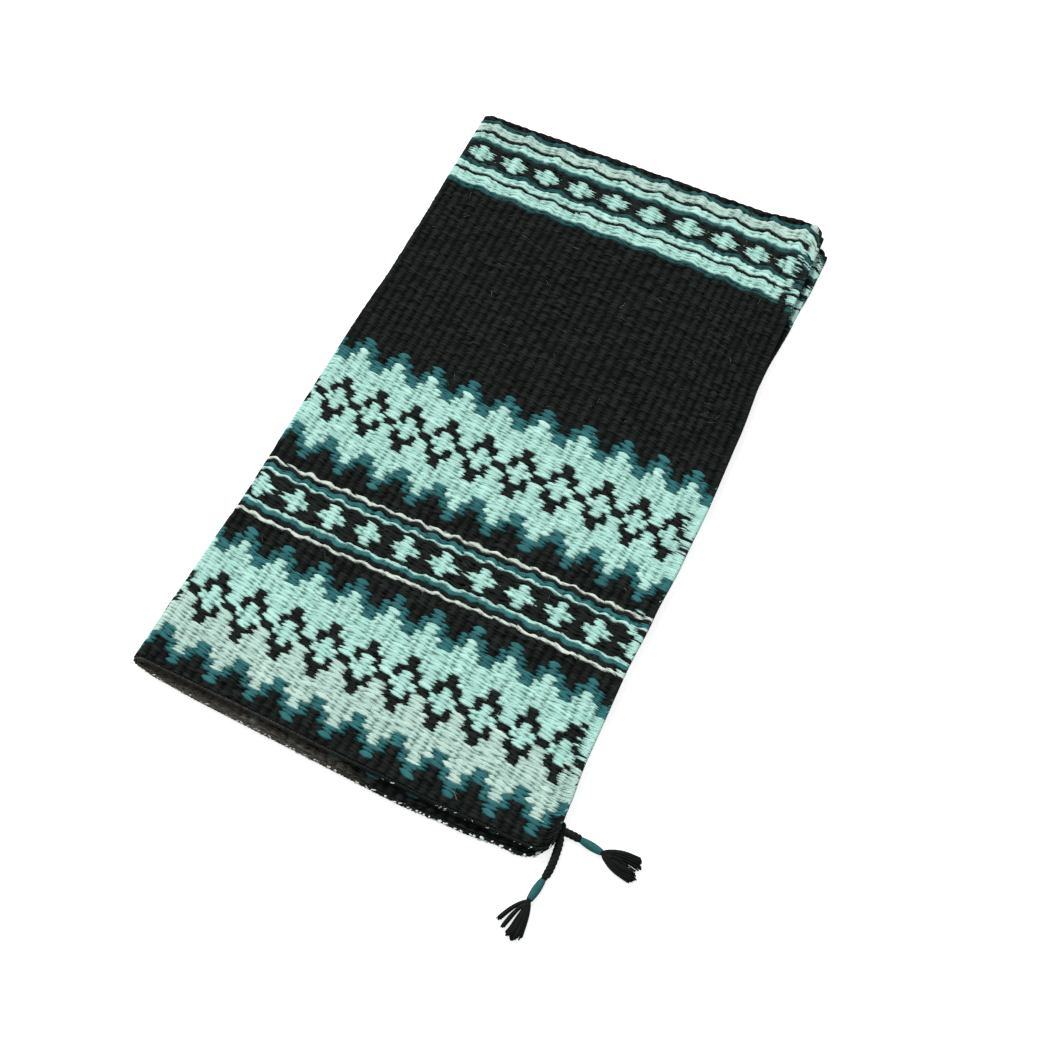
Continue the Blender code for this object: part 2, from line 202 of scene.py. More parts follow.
# How finely the cloth and the yarns are divided: the columns of a rib and the rows of a strand, and how many
# of them the plain face behind passes over in one step
TOP_GRID = ((8, 9))
HIDDEN_GRID = ((5, 5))
BACK_COLUMNS = {4: 4, 5: 5, 6: 3, 8: 4}
BACK_ROWS = 8
BACK_FOLD = 4
HALF_TURN = np.linspace(0, math.pi, 21)
ARC_STEPS = 24
YARN_SIDES = 6
YARN_STEP = 0.0009
BAKE_RINGS = 40
CELL_MARGIN = 0.02
CELL_SPAN = 0.96
CAP_RADIUS = 0.3
FIBRE_GAP = 0.0006
UP = np.array((0.0, 0.0, 1.0))

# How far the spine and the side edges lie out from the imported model's, at distances along the cloth, and how
# far the near ends do at shares of the way across
SPINE_OUTSETS = ((0.0, 0.0079), (0.10, 0.0064), (0.19, 0.0042), (0.26, 0.0033), (0.34, 0.0052),
                 (0.47, 0.0048), (0.58, 0.0035), (0.66, 0.0060), (0.73, 0.0080), (0.79, 0.0086))
PLY_OUTSET = 0.0034
UPPER_OUTSETS = ((0.0, 0.0), (0.20, 0.0), (0.30, 0.0043), (0.39, 0.0053), (0.46, 0.0038), (0.53, 0.0),
                 (0.60, -0.0030), (0.70, -0.0027), (0.745, -0.0002), (0.79, 0.0012))
LOWER_OUTSETS = ((0.0, 0.0028), (0.05, 0.0022), (0.11, -0.0012), (0.19, -0.0060), (0.70, -0.0060),
                 (0.79, -0.0010))
UPPER_BOWS = ((-0.05, 0.0), (0.2, 0.0), (0.55, 0.0015), (0.75, 0.0024), (0.9, 0.001), (1.0, 0.0))
LOWER_BOWS = ((-0.05, 0.0015), (0.03, 0.0062), (0.15, 0.0076), (0.65, 0.0076), (0.80, 0.0040),
              (0.92, -0.001), (1.0, -0.002))

# What sets the leaves apart, with how often the warps that loop round an end cord show and how big they are
UPPER = {"body": "upper_leaf", "base": LEAF_THICKNESS + LEAF_GAP, "near_slip": UPPER_NEAR_SLIP,
         "far_slip": 0.0, "draw_in": UPPER_DRAW_IN, "corner": UPPER_CORNER_RADIUS, "far_corner": 0.015,
         "far_bulge": 0.0065, "outsets": UPPER_OUTSETS, "bows": UPPER_BOWS, "dust": 0.35,
         "loops": ((0.0, 0.0), (0.45, 0.0), (0.6, 0.3), (1.0, 0.4)),
         "loop_sizes": ((0.0, 0.5), (1.0, 0.6))}
LOWER = {"body": "lower_leaf", "base": 0.0, "near_slip": LOWER_SLIP,
         "far_slip": LOWER_SLIP, "draw_in": 0.0, "corner": CORNER_RADIUS, "far_corner": 0.008,
         "far_bulge": 0.002, "outsets": LOWER_OUTSETS, "bows": LOWER_BOWS, "dust": 0.9,
         "loops": ((0.0, 0.6), (0.8, 0.9), (0.93, 0.8), (1.0, 0.3)),
         "loop_sizes": ((0.0, 0.9), (0.6, 1.1), (0.85, 1.9), (1.0, 1.8))}
SECOND_PLY = PLY_THICKNESS + PLY_GAP
OUTER_FOLD_RADIUS = HINGE_Z
INNER_FOLD_RADIUS = LEAF_GAP / 2
END_FOLD_RADIUS = LEAF_THICKNESS / 2
OUTER_TURN = math.pi * OUTER_FOLD_RADIUS / RIB_PITCH
INNER_TURN = math.pi * (INNER_FOLD_RADIUS + PLY_THICKNESS / 2) / RIB_PITCH
FIRST_RIB = -RIBS - math.ceil(OUTER_TURN) - 4
LAST_RIB = RIBS + 3


def motif_step(rib, motif):
    """How many ribs a rib lies from the nearest middle rib of a motif, below 0 on its spine side."""
    return (rib - motif + 2) % 4 - 2


def rib_rows(rib, rng):
    """One rib's strands: where each ends along the cloth, its yarn, shape, height and shade."""
    edges, yarns, shapes = [ROWS_START], [], []

    def add_run(end, yarn, shape, grid):
        """Strands of one yarn up to a place, half a step from the next rib's."""
        grid = grid + (STRAND / 2 if rib % 2 == 0 else 0.0)
        start = edges[-1]
        first = math.ceil((start + LEAST_STRAND - grid) / STRAND) * STRAND + grid
        last = math.floor((end - LEAST_STRAND - grid) / STRAND) * STRAND + grid
        stops = list(np.arange(first, last + STRAND / 2, STRAND))
        if not stops and end - start > LONGEST_STRAND:
            stops = [(start + end) / 2]
        stops.append(end)
        edges.extend(stops)
        yarns.extend([yarn] * len(stops))
        shapes.extend([shape] * len(stops))

    ground = (GROUND_REACH, rib, GROUND_TAPER, GROUND_ARCH)
    grid = 0.0
    for draft, middle, motif, shift in BANDS:
        step = motif_step(rib, motif)
        away = abs(step)
        lean = MOTIF_LEAN[away] * np.sign(step)
        shape = (MOTIF_REACH[away], rib - lean, MOTIF_TAPER[away], MOTIF_ARCH)
        start, runs = draft[away]
        begin = middle + start * PICK
        if begin - edges[-1] > LONG_GROUND:
            halfway = (edges[-1] + begin) / 2 + GROUND_SHIFT * rng.uniform(-1, 1)
            add_run(halfway, BLACK, ground, grid)
        grid = middle + shift * PICK
        add_run(begin, BLACK, ground, grid)
        points = FAR_STAR_POINTS if draft is FAR_STARS else STAR_POINTS
        beside = min(away, 1)
        star = (points if away else STAR_REACH, rib, STAR_TAPER[beside], STAR_ARCH[beside])
        for end, yarn in runs:
            add_run(middle + end * PICK, yarn, star if yarn == STAR else shape, grid)
    add_run(ROWS_END, BLACK, ground, grid)
    edges = np.array(edges)
    edges[1:-1] += EDGE_WAVER * rng.uniform(-1, 1, len(edges) - 2)
    yarns, shapes = np.array(yarns), np.array(shapes)
    beside_selvedge = abs(rib) >= RIBS - 1
    if beside_selvedge:
        edges, yarns, shapes = streaked(edges, yarns, shapes, STREAK_CHANCES[rib > 0], rng)
    reaches, middles, tapers, arches = shapes.T
    ground = arches == GROUND_ARCH

    def waver(low=-1, high=1):
        """A random number for each strand."""
        return rng.uniform(low, high, len(yarns))

    return {"edges": edges, "yarns": yarns, "tapers": tapers, "arches": arches,
            "reaches": reaches * waver(*REACH_WAVER),
            "middles": middles + np.where(ground, GROUND_MIDDLE_WAVER, MIDDLE_WAVER) * waver(),
            "rises": RISE_WAVER * waver() * np.where(ground, GROUND_RISE, 1.0),
            "shades": waver(0, 1),
            "grooves": GROOVE * waver(*GROOVE_SIZES) * (EDGE_GROOVE if beside_selvedge else 1.0),
            "parts": GROOVE_OFFSET * waver(),
            "slants": SLANT + SLANT_WAVER * waver()}


def streaked(edges, yarns, shapes, chance, rng):
    """A rib beside the selvedge, where single strands of the neighbouring yarns show between the floats."""
    halves = np.stack([edges[:-1], (edges[:-1] + edges[1:]) / 2], 1).ravel()
    doubled = np.repeat(yarns, 2)
    near = np.roll(doubled, rng.choice(STREAK_STEPS))
    plain = ~np.isin(doubled, (CREAM, TEAL)) & ~np.isin(near, (CREAM, TEAL))
    swap = (rng.uniform(0, 1, len(doubled)) < chance) & plain
    return np.append(halves, edges[-1]), np.where(swap, near, doubled), np.repeat(shapes, 2, axis=0)


ROWS = {rib: rib_rows(rib, np.random.default_rng(RIB_SEED + rib)) for rib in range(FIRST_RIB, LAST_RIB + 1)}


def lines_of(rib):
    """Where one yarn gives way to another on a rib of the star bands, with both yarns."""
    found = []
    for draft, middle, motif, _ in BANDS:
        if draft in (STARS, FAR_STARS):
            start, runs = draft[abs(motif_step(rib, motif))]
            ends = [start - WAVE_END, start] + [end for end, _ in runs] + [runs[-1][0] + WAVE_END]
            yarns = [BLACK] + [yarn for _, yarn in runs] + [BLACK]
            kinds = [None, *zip(yarns, yarns[1:]), None]
            found += [(middle + end * PICK, kind) for end, kind in zip(ends, kinds)]
    return found


def waves_of(rib):
    """The places of a rib's lines, and how far away the ribs on either side have the same lines."""
    own = lines_of(rib)
    sides = []
    for beside in (lines_of(rib - 1), lines_of(rib + 1)):
        shifts = []
        for place, kind in own:
            near = [other - place for other, other_kind in beside if kind and other_kind == kind]
            shift = min(near, key=abs, default=0.0)
            shifts.append(shift if abs(shift) < WAVE_REACH else 0.0)
        sides.append(shifts)
    return [place for place, _ in own], *sides


WAVES = {rib: waves_of(rib) for rib in ROWS}


def dip(share):
    """How far a round mound has dropped at a share of its half width."""
    return 1 - np.sqrt(np.clip(1 - share**2, 0, 1))


def strand_relief(rib, column, along):
    """How high one rib's strands lie at each place, with their yarn and shade."""
    rows = ROWS[rib]
    edges = rows["edges"]
    lean = column - rib
    places, before, after = WAVES[rib]
    wave = np.where(lean > 0, np.interp(along, places, after), np.interp(along, places, before))
    along = along - wave * (1 - np.cos(math.pi * np.clip(np.abs(lean), 0, 1))) / 2
    index = np.clip(np.searchsorted(edges, along + SLANT * lean) - 1, 0, len(rows["yarns"]) - 1)
    own = {key: values[index] for key, values in rows.items()}
    along = along + own["slants"] * lean
    reach = np.abs(column - own["middles"]) / own["reaches"]
    start, end = own["edges"], edges[index + 1]
    width = (end - start) / 2 * np.clip(1 - reach ** own["tapers"], LEAST_WIDTH, 1)
    signed = (along - (start + end) / 2) / width
    across = np.abs(signed)
    part = own["parts"]
    split = np.where(signed > part, (signed - part) / (1 - part), (part - signed) / (1 + part))
    rise = own["rises"] - own["arches"] * reach**2
    rise = rise - STRAND_DIP * dip(across) - own["grooves"] * dip(2 * split - 1)
    middle, ends, beside = GAP_DEPTHS
    gap = DEEPEST * (middle + ends * reach) + beside * DEEPEST * np.clip(across - 1, 0, 1)
    return np.where(across < 1, rise, -gap), own["yarns"], own["shades"]


def weave(column, distance):
    """The relief of the cloth at each place, with the yarn there and its shade."""
    height = np.full(column.shape, -2 * DEEPEST)
    yarn = np.zeros(column.shape, int)
    shade = np.full(column.shape, 0.5)
    first = max(FIRST_RIB, math.floor(column.min()) - 1)
    last = min(LAST_RIB, math.ceil(column.max()) + 1)
    for rib in range(first, last + 1):
        near = np.abs(column - rib) < RIB_SPAN
        if near.any():
            rise, yarns, shades = strand_relief(rib, column[near], np.abs(distance[near]))
            best = rise > height[near]
            where = tuple(axis[best] for axis in np.nonzero(near))
            height[where] = rise[best]
            yarn[where] = yarns[best]
            shade[where] = shades[best]
    return np.clip(height, -DEEPEST, HIGHEST), yarn, shade


def ease(share):
    """A smooth step from 0 to 1."""
    share = np.clip(share, 0, 1)
    return share * share * (3 - 2 * share)


def ramp(value, start, end):
    """A smooth step from 0 to 1 between two places."""
    return ease((value - start) / (end - start))


# How the cloth lies askew: the columns that have crept over the spine at the far end, the columns that
# bulge towards the selvedge, and how the rows bow
CREEP_RIBS = 1.31
CREEP_END = 0.441
BULGE_COLUMN = 30
BULGE_WIDTH = 7
BULGE_RIBS = 0.80
BULGE_REST_RIBS = 0.1
BULGE_END = (0.45, 0.60)
BULGE_HOLD = 4
FOLD_BULGE_TURN = 0.8
LEFT_BOW = 0.0034
LEFT_BOW_RIBS = 2.6
MIDDLE_BOW = 0.0015
MIDDLE_BOW_PLACE = 15
MIDDLE_BOW_WIDTH = 8
RIGHT_BOW = 0.0036
RIGHT_BOW_NEAR = -0.0010
RIGHT_BOW_COLUMNS = (26, 38)
RIGHT_BOW_CHANGE = (0.60, 0.68)
BOW_START = (0.0, 0.05)
NEAR_EASE = 0.088
FAR_BULGE_SHARES = (0.82, 0.94)
FAR_CORNER_LENGTH = 0.11
CLOTH_END = 0.7885


def eased(points, value):
    """A smooth curve through points, each a place and a size."""
    places, sizes = np.array(points).T
    index = np.clip(np.searchsorted(places, value) - 1, 0, len(places) - 2)
    share = ease((value - places[index]) / (places[index + 1] - places[index]))
    return sizes[index] + (sizes[index + 1] - sizes[index]) * share


def spine_column(distance):
    """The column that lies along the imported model's spine edge."""
    return CREEP_RIBS * np.clip(1 - distance / CREEP_END, 0, 1)


def ply_outset(distance):
    """How far out the plies reach at the spine: no further than the hinge, so that they can open flat."""
    return np.minimum(eased(SPINE_OUTSETS, distance), PLY_OUTSET)


def fold_bulge(distance):
    """How much wider than high the spine folds are."""
    return eased(SPINE_OUTSETS, distance) - ply_outset(distance)


def more_turn(distance):
    """The ribs by which the bulge makes the turn round the spine longer."""
    return FOLD_BULGE_TURN * math.pi * fold_bulge(distance) / RIB_PITCH


def first_column(distance):
    """The column where the cloth starts to turn round the spine."""
    return spine_column(distance) - ply_outset(distance) / RIB_PITCH


def spine_x(distance):
    """Where the cloth starts to turn round the spine."""
    return SPINE_X - ply_outset(distance)


def bulge(column, distance):
    """How many ribs a column lies to the selvedge side of its regular place."""
    size = BULGE_REST_RIBS + (BULGE_RIBS - BULGE_REST_RIBS) * (1 - ramp(distance, *BULGE_END))
    hold = 1 - ramp(column, RIBS - BULGE_HOLD, RIBS)
    return size * hold * np.exp(-(((column - BULGE_COLUMN) / BULGE_WIDTH) ** 2))


def bow(column, distance):
    """How far a row bows towards the near end, and at the spine towards the far end."""
    left = -LEFT_BOW * np.exp(-column / LEFT_BOW_RIBS)
    middle = MIDDLE_BOW * np.exp(-(((column - MIDDLE_BOW_PLACE) / MIDDLE_BOW_WIDTH) ** 2))
    near = ramp(distance, *RIGHT_BOW_CHANGE)
    right = (RIGHT_BOW * (1 - near) + RIGHT_BOW_NEAR * near) * ramp(column, *RIGHT_BOW_COLUMNS)
    return (left + middle + right) * ramp(distance, *BOW_START)


def corner_cut(x, radius):
    """How far a corner's rounding comes in from a leaf's end."""
    corner = np.clip(x - RIGHT_X + radius, 0, radius)
    return radius - np.sqrt(radius**2 - corner**2)


def plan(leaf, share, distance, column):
    """Where a place on a leaf lies in plan, from its share of the way from the spine to the selvedge."""
    x = SPINE_X + share * WIDTH
    near = SPINE_NEAR_Y - leaf["near_slip"] * share + corner_cut(x, leaf["corner"])
    near = near - eased(leaf["bows"], share)
    settle = np.clip((distance - CLOTH_END + NEAR_EASE) / NEAR_EASE, 0, None) ** 2
    lift = leaf["far_bulge"] * ramp(share, *FAR_BULGE_SHARES) - corner_cut(x, leaf["far_corner"])
    far = FAR_Y - leaf["far_slip"] * share + lift * np.clip(1 - distance / FAR_CORNER_LENGTH, 0, 1) ** 2
    y = far - distance + settle * (near - far + CLOTH_END)
    if leaf is UPPER:
        y = y - bow(column, distance) * (1 - settle)
    draw = leaf["draw_in"] * np.clip((y - SPINE_NEAR_Y) / (FOLD_Y - SPINE_NEAR_Y), 0, 1)
    outset = eased(leaf["outsets"], distance) * np.clip(share, 0, 1) ** 3
    return x - share * draw + outset, y


EDGE_RIBS = 4
HEM_FLAT = 0.0015
HEM_RADIUS = 0.0019
HEM_RIBS = (HEM_FLAT + HEM_RADIUS * math.pi / 2) / RIB_PITCH


def across(columns, step):
    """Places across a leaf in ribs from its spine edge, and past the selvedge over its cord."""
    past = RIBS + HEM_RIBS * np.arange(1, step + 1) / step
    return np.concatenate([np.arange(RIBS * columns + 1) / columns, past])


def along(rows):
    """Places along the cloth from the end folds to its end."""
    steps = math.ceil((CLOTH_END - FLAT_START) / STRAND * rows / BACK_ROWS) * BACK_ROWS
    return np.linspace(FLAT_START, CLOTH_END, steps + 1)


def grid_of(first, second):
    """Two grids, of the places in each direction."""
    return np.meshgrid(first, second, indexing="ij")


def leaf_places(leaf, turn, place, distance):
    """The columns and shares of places on a leaf, the cloth turned round the spine."""
    flat = np.minimum(place, RIBS)
    first = first_column(distance)
    if leaf is UPPER:
        column = np.where(flat >= EDGE_RIBS, flat, first + (EDGE_RIBS - first) * flat / EDGE_RIBS)
        spine = spine_column(distance)
        share = (column - spine + bulge(column, distance)) / (RIBS - spine)
        return column + place - flat, share
    start = -ply_outset(distance) / WIDTH
    share = start + (1 - start) * flat / RIBS
    return first - turn - more_turn(distance) - (share - start) * RIBS - (place - flat), share


def hem(place):
    """How far a place past the selvedge lies out, and how far it has dropped, as it goes over the cord."""
    past = np.clip(place - RIBS, 0, None) * RIB_PITCH
    turn = np.clip(past - HEM_FLAT, 0, None) / HEM_RADIUS
    return np.minimum(past, HEM_FLAT) + HEM_RADIUS * np.sin(turn), HEM_RADIUS * (1 - np.cos(turn))


# Where a slab's face, back and walls lie in its baking layout, and how high each wall's strip is
FACE_STRIP = (0.0, 0.90)
BACK_STRIP = (0.92, 0.97)
WALL_STRIPS = (0.975, 0.981, 0.987, 0.993)
WALL_HEIGHT = 0.004


def slab(name, front, back, cloth, look, steps):
    """A closed slab from a fine grid of points and a coarser one behind it, laid out flat for baking."""
    skip_n, skip_m = (slice(None, None, step) for step in steps)
    index = np.arange(front[..., 0].size).reshape(front.shape[:2])
    behind = index.size + np.arange(back[..., 0].size).reshape(back.shape[:2])
    groups = [
        (corners_of(index), grid_layout(index.shape, *FACE_STRIP)),
        (corners_of(behind)[:, ::-1], grid_layout(behind.shape, *BACK_STRIP)[:, ::-1]),
    ]
    borders = (np.s_[:, 0], np.s_[::-1, -1], np.s_[0, ::-1], np.s_[-1, :])
    for side, border in enumerate(borders):
        groups.append(wall(index[border], behind[border], steps[side // 2], WALL_STRIPS[side]))

    def both(grid, second):
        """The values of a grid and of the one behind it, in one list."""
        return np.concatenate([values.reshape(-1, grid.shape[-1]) for values in (grid, second)])

    cloth, look = both(cloth, cloth[skip_n, skip_m]), both(look, look[skip_n, skip_m])
    return mesh_from(name, both(front, back), groups, cloth, look)


def corners_of(grid):
    """The values at the four corners of each cell of a grid."""
    corners = (grid[:-1, :-1], grid[1:, :-1], grid[1:, 1:], grid[:-1, 1:])
    return np.stack([corner.reshape(-1, *grid.shape[2:]) for corner in corners], 1)


def grid_layout(shape, low, high):
    """Where a grid's faces lie in the baking layout: its first direction across, its second in a strip."""
    right, up = grid_of(np.linspace(0, 1, shape[0]), np.linspace(0, 1, shape[1]))
    return corners_of(np.stack([right, low + (high - low) * up], -1))


def wall(fine, coarse, step, low):
    """Faces that join a fine border to the coarse one behind it, with their layout."""
    count = len(coarse) - 1
    faces, places = [], []
    for i in range(count):
        faces.append([coarse[i], coarse[i + 1], *fine[i * step: (i + 1) * step + 1][::-1]])
        tops = [((i + 1 - j / step) / count, low + WALL_HEIGHT) for j in range(step + 1)]
        places.append([(i / count, low), ((i + 1) / count, low), *tops])
    return np.array(faces), np.array(places)


def mesh_from(name, points, groups, cloth, look):
    """A mesh from points and groups of faces with their layout, its faces turned outwards."""
    points = np.asarray(points, np.float64)
    volume = 0.0
    for faces, _ in groups:
        first = points[faces[:, 0]]
        for second, third in zip(faces.T[1:-1], faces.T[2:]):
            volume += np.einsum("ij,ij->", first, np.cross(points[second], points[third]))
    if volume < 0:
        groups = [(faces[:, ::-1], places[:, ::-1]) for faces, places in groups]
    mesh = bpy.data.meshes.new(name)
    mesh.vertices.add(len(points))
    mesh.vertices.foreach_set("co", points.astype(np.float32).ravel())
    corners = np.concatenate([faces.ravel() for faces, _ in groups])
    sizes = np.concatenate([np.full(len(faces), faces.shape[1]) for faces, _ in groups])
    mesh.loops.add(len(corners))
    mesh.loops.foreach_set("vertex_index", corners.astype(np.int32))
    mesh.polygons.add(len(sizes))
    mesh.polygons.foreach_set("loop_start", (np.cumsum(sizes) - sizes).astype(np.int32))
    mesh.update(calc_edges=True)
    layout = mesh.uv_layers.new(name="OFBake")
    places = np.concatenate([places.reshape(-1, 2) for _, places in groups])
    layout.data.foreach_set("uv", places.astype(np.float32).ravel())
    mesh.attributes.new("cloth", "FLOAT_VECTOR", "POINT").data.foreach_set("vector", cloth.ravel())
    mesh.attributes.new("yarn", "FLOAT_COLOR", "POINT").data.foreach_set("color", look[:, :4].ravel())
    # Dust, and the painted light of the relief: painted shade in the creases, painted highlight on the crests.
    dust_and_painted_light = np.column_stack([look[:, 4:], np.zeros(len(look))])
    mesh.attributes.new("dust_and_painted_light", "FLOAT_VECTOR", "POINT").data.foreach_set("vector", dust_and_painted_light.ravel())
    mesh.shade_smooth()
    mesh.validate()
    return mesh


PALE_SHARE = 0.36
HUE_SHARE = 0.22
HUE_START = 0.3
DEEP_SHARE = 0.55
PALE_DUST = 0.11


def look_of(yarn, shade, rise=0.0, dust=0.0):
    """What the wool reads at each point: shares of teal, aqua and cream, shade, dust and painted light from
    height.
    """
    aqua = (yarn == AQUA) | (yarn == PALE) | (yarn == STAR)
    cream = (yarn == CREAM) + aqua * (PALE_SHARE * (yarn == PALE) + HUE_SHARE * (shade - HUE_START).clip(0))
    teal = (yarn == TEAL) + DEEP_SHARE * (yarn == DEEP_TEAL)
    # Painted shade and highlight: the deeper the relief lies, the darker the wool is painted, and the crests
    # are painted lightest.
    painted_light = 1 + rise / DEEPEST
    dust = dust + PALE_DUST * (yarn == PALE)
    return np.stack(np.broadcast_arrays(teal, aqua, cream, shade, dust, painted_light), -1).astype(float)


LOOK = "_look"


def placed(name, data):
    """A new object in the scene."""
    made = bpy.data.objects.new(name, data)
    bpy.context.scene.collection.objects.link(made)
    return made


def add_piece(name, mesh, material, node, body=None):
    """A mesh as a named piece with its material, in place of a solid, and on a body if one is given."""
    mesh.materials.append(material)
    piece = placed(name, mesh)
    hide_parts(node)
    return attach(piece, body) if body else piece


def add_cloth(name, kind, front, back, column, distance, woven, steps, material, body=None, dust=0.0):
    """A piece of the cloth from its face's points and those behind, in place of its ply or fold."""
    height, yarn, shade = woven
    place = np.stack([column * RIB_PITCH, distance, np.zeros_like(column)], -1)
    mesh = slab(name, front, back, place, look_of(yarn, shade, height, dust), steps)
    return add_piece(name, mesh, material, name.replace("cloth", kind), body)


DUSTY_ENDS = (CLOTH_END - 0.010, CLOTH_END - 0.003)
DUSTY_PLACES = ((-0.05, 0.75), (0.3, 1.0), (0.45, 0.6), (0.62, 0.0))


def dust_at(share, distance, rng):
    """How dusty brown the wool is: only near the lower leaf's near end, and most on its left."""
    end = ramp(distance, *DUSTY_ENDS)
    return end * eased(DUSTY_PLACES, share) * rng.uniform(0.25, 1.0, share.shape)


def add_ply(name, leaf, low, face_up, turn, grid, material):
    """One ply of the cloth. The face that shows, up or down, has the whole relief, the other is plain."""
    columns, rows = grid
    steps = (BACK_COLUMNS[columns], BACK_ROWS)
    place, distance = grid_of(across(columns, steps[0]), along(rows))
    column, share = leaf_places(leaf, turn, place, distance)
    woven = weave(column, distance)
    x, y = plan(leaf, share, distance, column)
    out, drop = hem(place)
    relief = (CREST if low > 0 else -HIGHEST) + woven[0] - drop
    z = low + PLY_THICKNESS + relief if face_up else low - relief
    front = np.stack([x + out, y, z], -1)
    back = front[::steps[0], ::steps[1]].copy()
    back[-1, :, 0] = back[-2, :, 0] + PLY_GAP
    back[..., 2] = low + PLY_GAP if face_up else low + PLY_THICKNESS - PLY_GAP
    dust = dust_at(share, distance, np.random.default_rng(DUST_SEED)) if leaf is LOWER else 0.0
    return add_cloth(name, "ply", front, back, column, distance, woven, steps, material, leaf["body"], dust)


FOLD_DRAW = 0.8


def drawn(height, spin):
    """The relief over a fold, where the cloth is drawn smoother than on the flat."""
    return CREST * np.sin(spin) + height * (1 - FOLD_DRAW * np.sin(spin))


def on_floor(points):
    """Points with none below the floor."""
    return np.concatenate([points[..., :2], np.maximum(points[..., 2:], 0)], -1)


def add_end_cloth(name, leaf, turn, material):
    """A leaf's tight fold across its far end, from the outer ply round to the inner one."""
    step = BACK_COLUMNS[TOP_GRID[0]]
    place, spin = grid_of(across(TOP_GRID[0], step), HALF_TURN)
    start = FLAT_START + 0 * spin
    column, share = leaf_places(leaf, turn, place, start)
    distance = FLAT_START * (1 - 2 * spin / math.pi)
    woven = weave(column, distance)
    x, y = plan(leaf, share, start, column)
    out, drop = hem(place)
    middle = leaf["base"] + END_FOLD_RADIUS
    side = 1 if leaf is UPPER else -1

    def ring(radius):
        """The fold's points at a radius."""
        return np.stack([x + out, y + radius * np.sin(spin), middle + side * radius * np.cos(spin)], -1)

    front = on_floor(ring(END_FOLD_RADIUS + drawn(woven[0], spin) - drop))
    back = ring(0 * spin + PLY_GAP)[::step, ::BACK_FOLD]
    back[-1, :, 0] = back[-2, :, 0] + PLY_GAP
    steps = (step, BACK_FOLD)
    return add_cloth(name, "fold", front, back, column, distance, woven, steps, material, leaf["body"])


def spine_y(distance, spin):
    """Where a place of the spine folds lies along the pack: each edge meets the leaf that it runs into."""
    column, share = leaf_places(UPPER, 0.0, 0.0 * distance, distance)
    upper = plan(UPPER, share, distance, column)[1]
    column, share = leaf_places(LOWER, 0.0, 0.0 * distance, distance)
    lower = plan(LOWER, share, distance, column)[1]
    return upper + (lower - upper) * ease(spin / math.pi)


def add_spine_cloth(name, radius, back_radius, turn, rising, material):
    """A fold along the spine. The outer one shows its outer face, the inner one its inner face."""
    spin, distance = grid_of(HALF_TURN, along(TOP_GRID[1]))
    column = first_column(distance) - (turn + more_turn(distance)) * spin / math.pi
    woven = weave(column, distance)
    x, y, bulge_out = spine_x(distance), spine_y(distance, spin), fold_bulge(distance)

    def ring(size):
        """The fold's points at a radius."""
        return np.stack([x - (size + bulge_out) * np.sin(spin), y, HINGE_Z + size * np.cos(spin)], -1)

    steps = (BACK_FOLD, BACK_ROWS)
    front = on_floor(ring(radius + rising * drawn(woven[0], spin)))
    back = ring(back_radius + 0 * spin)[::steps[0], ::steps[1]]
    return add_cloth(name, "fold", front, back, column, distance, woven, steps, material)


def add_corner_cloth(name, material):
    """The far corner, where the end fold itself turns round the spine."""
    around, spin = grid_of(HALF_TURN, HALF_TURN)
    turn = OUTER_TURN + (INNER_TURN - OUTER_TURN) * spin / math.pi
    flat = FLAT_START + 0 * spin
    column = first_column(flat) - (turn + more_turn(flat)) * around / math.pi
    distance = FLAT_START * (1 - 2 * spin / math.pi)
    woven = weave(column, distance)
    middle = HINGE_Z - END_FOLD_RADIUS
    x, y = spine_x(flat), spine_y(flat, around)

    def ring(size):
        """The fold's points at a radius."""
        out = middle + size * np.cos(spin)
        left = x - (out + fold_bulge(flat)) * np.sin(around)
        return np.stack([left, y + size * np.sin(spin), HINGE_Z + out * np.cos(around)], -1)

    steps = (BACK_FOLD, BACK_FOLD)
    front = on_floor(ring(END_FOLD_RADIUS + drawn(woven[0], np.maximum(spin, around))))
    back = ring(PLY_GAP + 0 * spin)[::steps[0], ::steps[1]]
    return add_cloth(name, "fold", front, back, column, distance, woven, steps, material)


def unit(vectors):
    """Vectors made 1 long."""
    return vectors / np.linalg.norm(vectors, axis=-1, keepdims=True)


def lengths(route):
    """How far along a route each of its points lies."""
    return np.concatenate([[0], np.cumsum(np.linalg.norm(np.diff(route, axis=0), axis=1))])


def evenly(route, step=YARN_STEP):
    """A route with its points evenly spaced."""
    route = np.asarray(route, float)
    far = lengths(route)
    places = np.linspace(0, far[-1], max(3, round(far[-1] / step)) + 1)
    return np.stack([np.interp(places, far, route[:, axis]) for axis in range(3)], 1)


def smoothed(points, steps=8):
    """Points read from a smooth curve through a route's own points."""
    points = np.asarray(points, float)
    ends = np.vstack([2 * points[0] - points[1], points, 2 * points[-1] - points[-2]])
    t = np.linspace(0, 1, steps, endpoint=False)[:, None]
    runs = []
    for a, b, c, d in zip(ends, ends[1:], ends[2:], ends[3:]):
        bend = (2 * a - 5 * b + 4 * c - d) * t**2 + (3 * b - a - 3 * c + d) * t**3
        runs.append(b + ((c - a) * t + bend) / 2)
    return np.vstack([*runs, points[-1:]])


def frames(route):
    """Two unit vectors square to a route at each point, carried along it without twist."""
    along_route = unit(np.gradient(route, axis=0))
    current = UP if abs(along_route[0][2]) < 0.9 else np.array((1.0, 0.0, 0.0))
    sides = []
    for forward in along_route:
        current = unit(current - forward * np.dot(current, forward))
        sides.append(current)
    return np.array(sides), np.cross(along_route, np.array(sides))


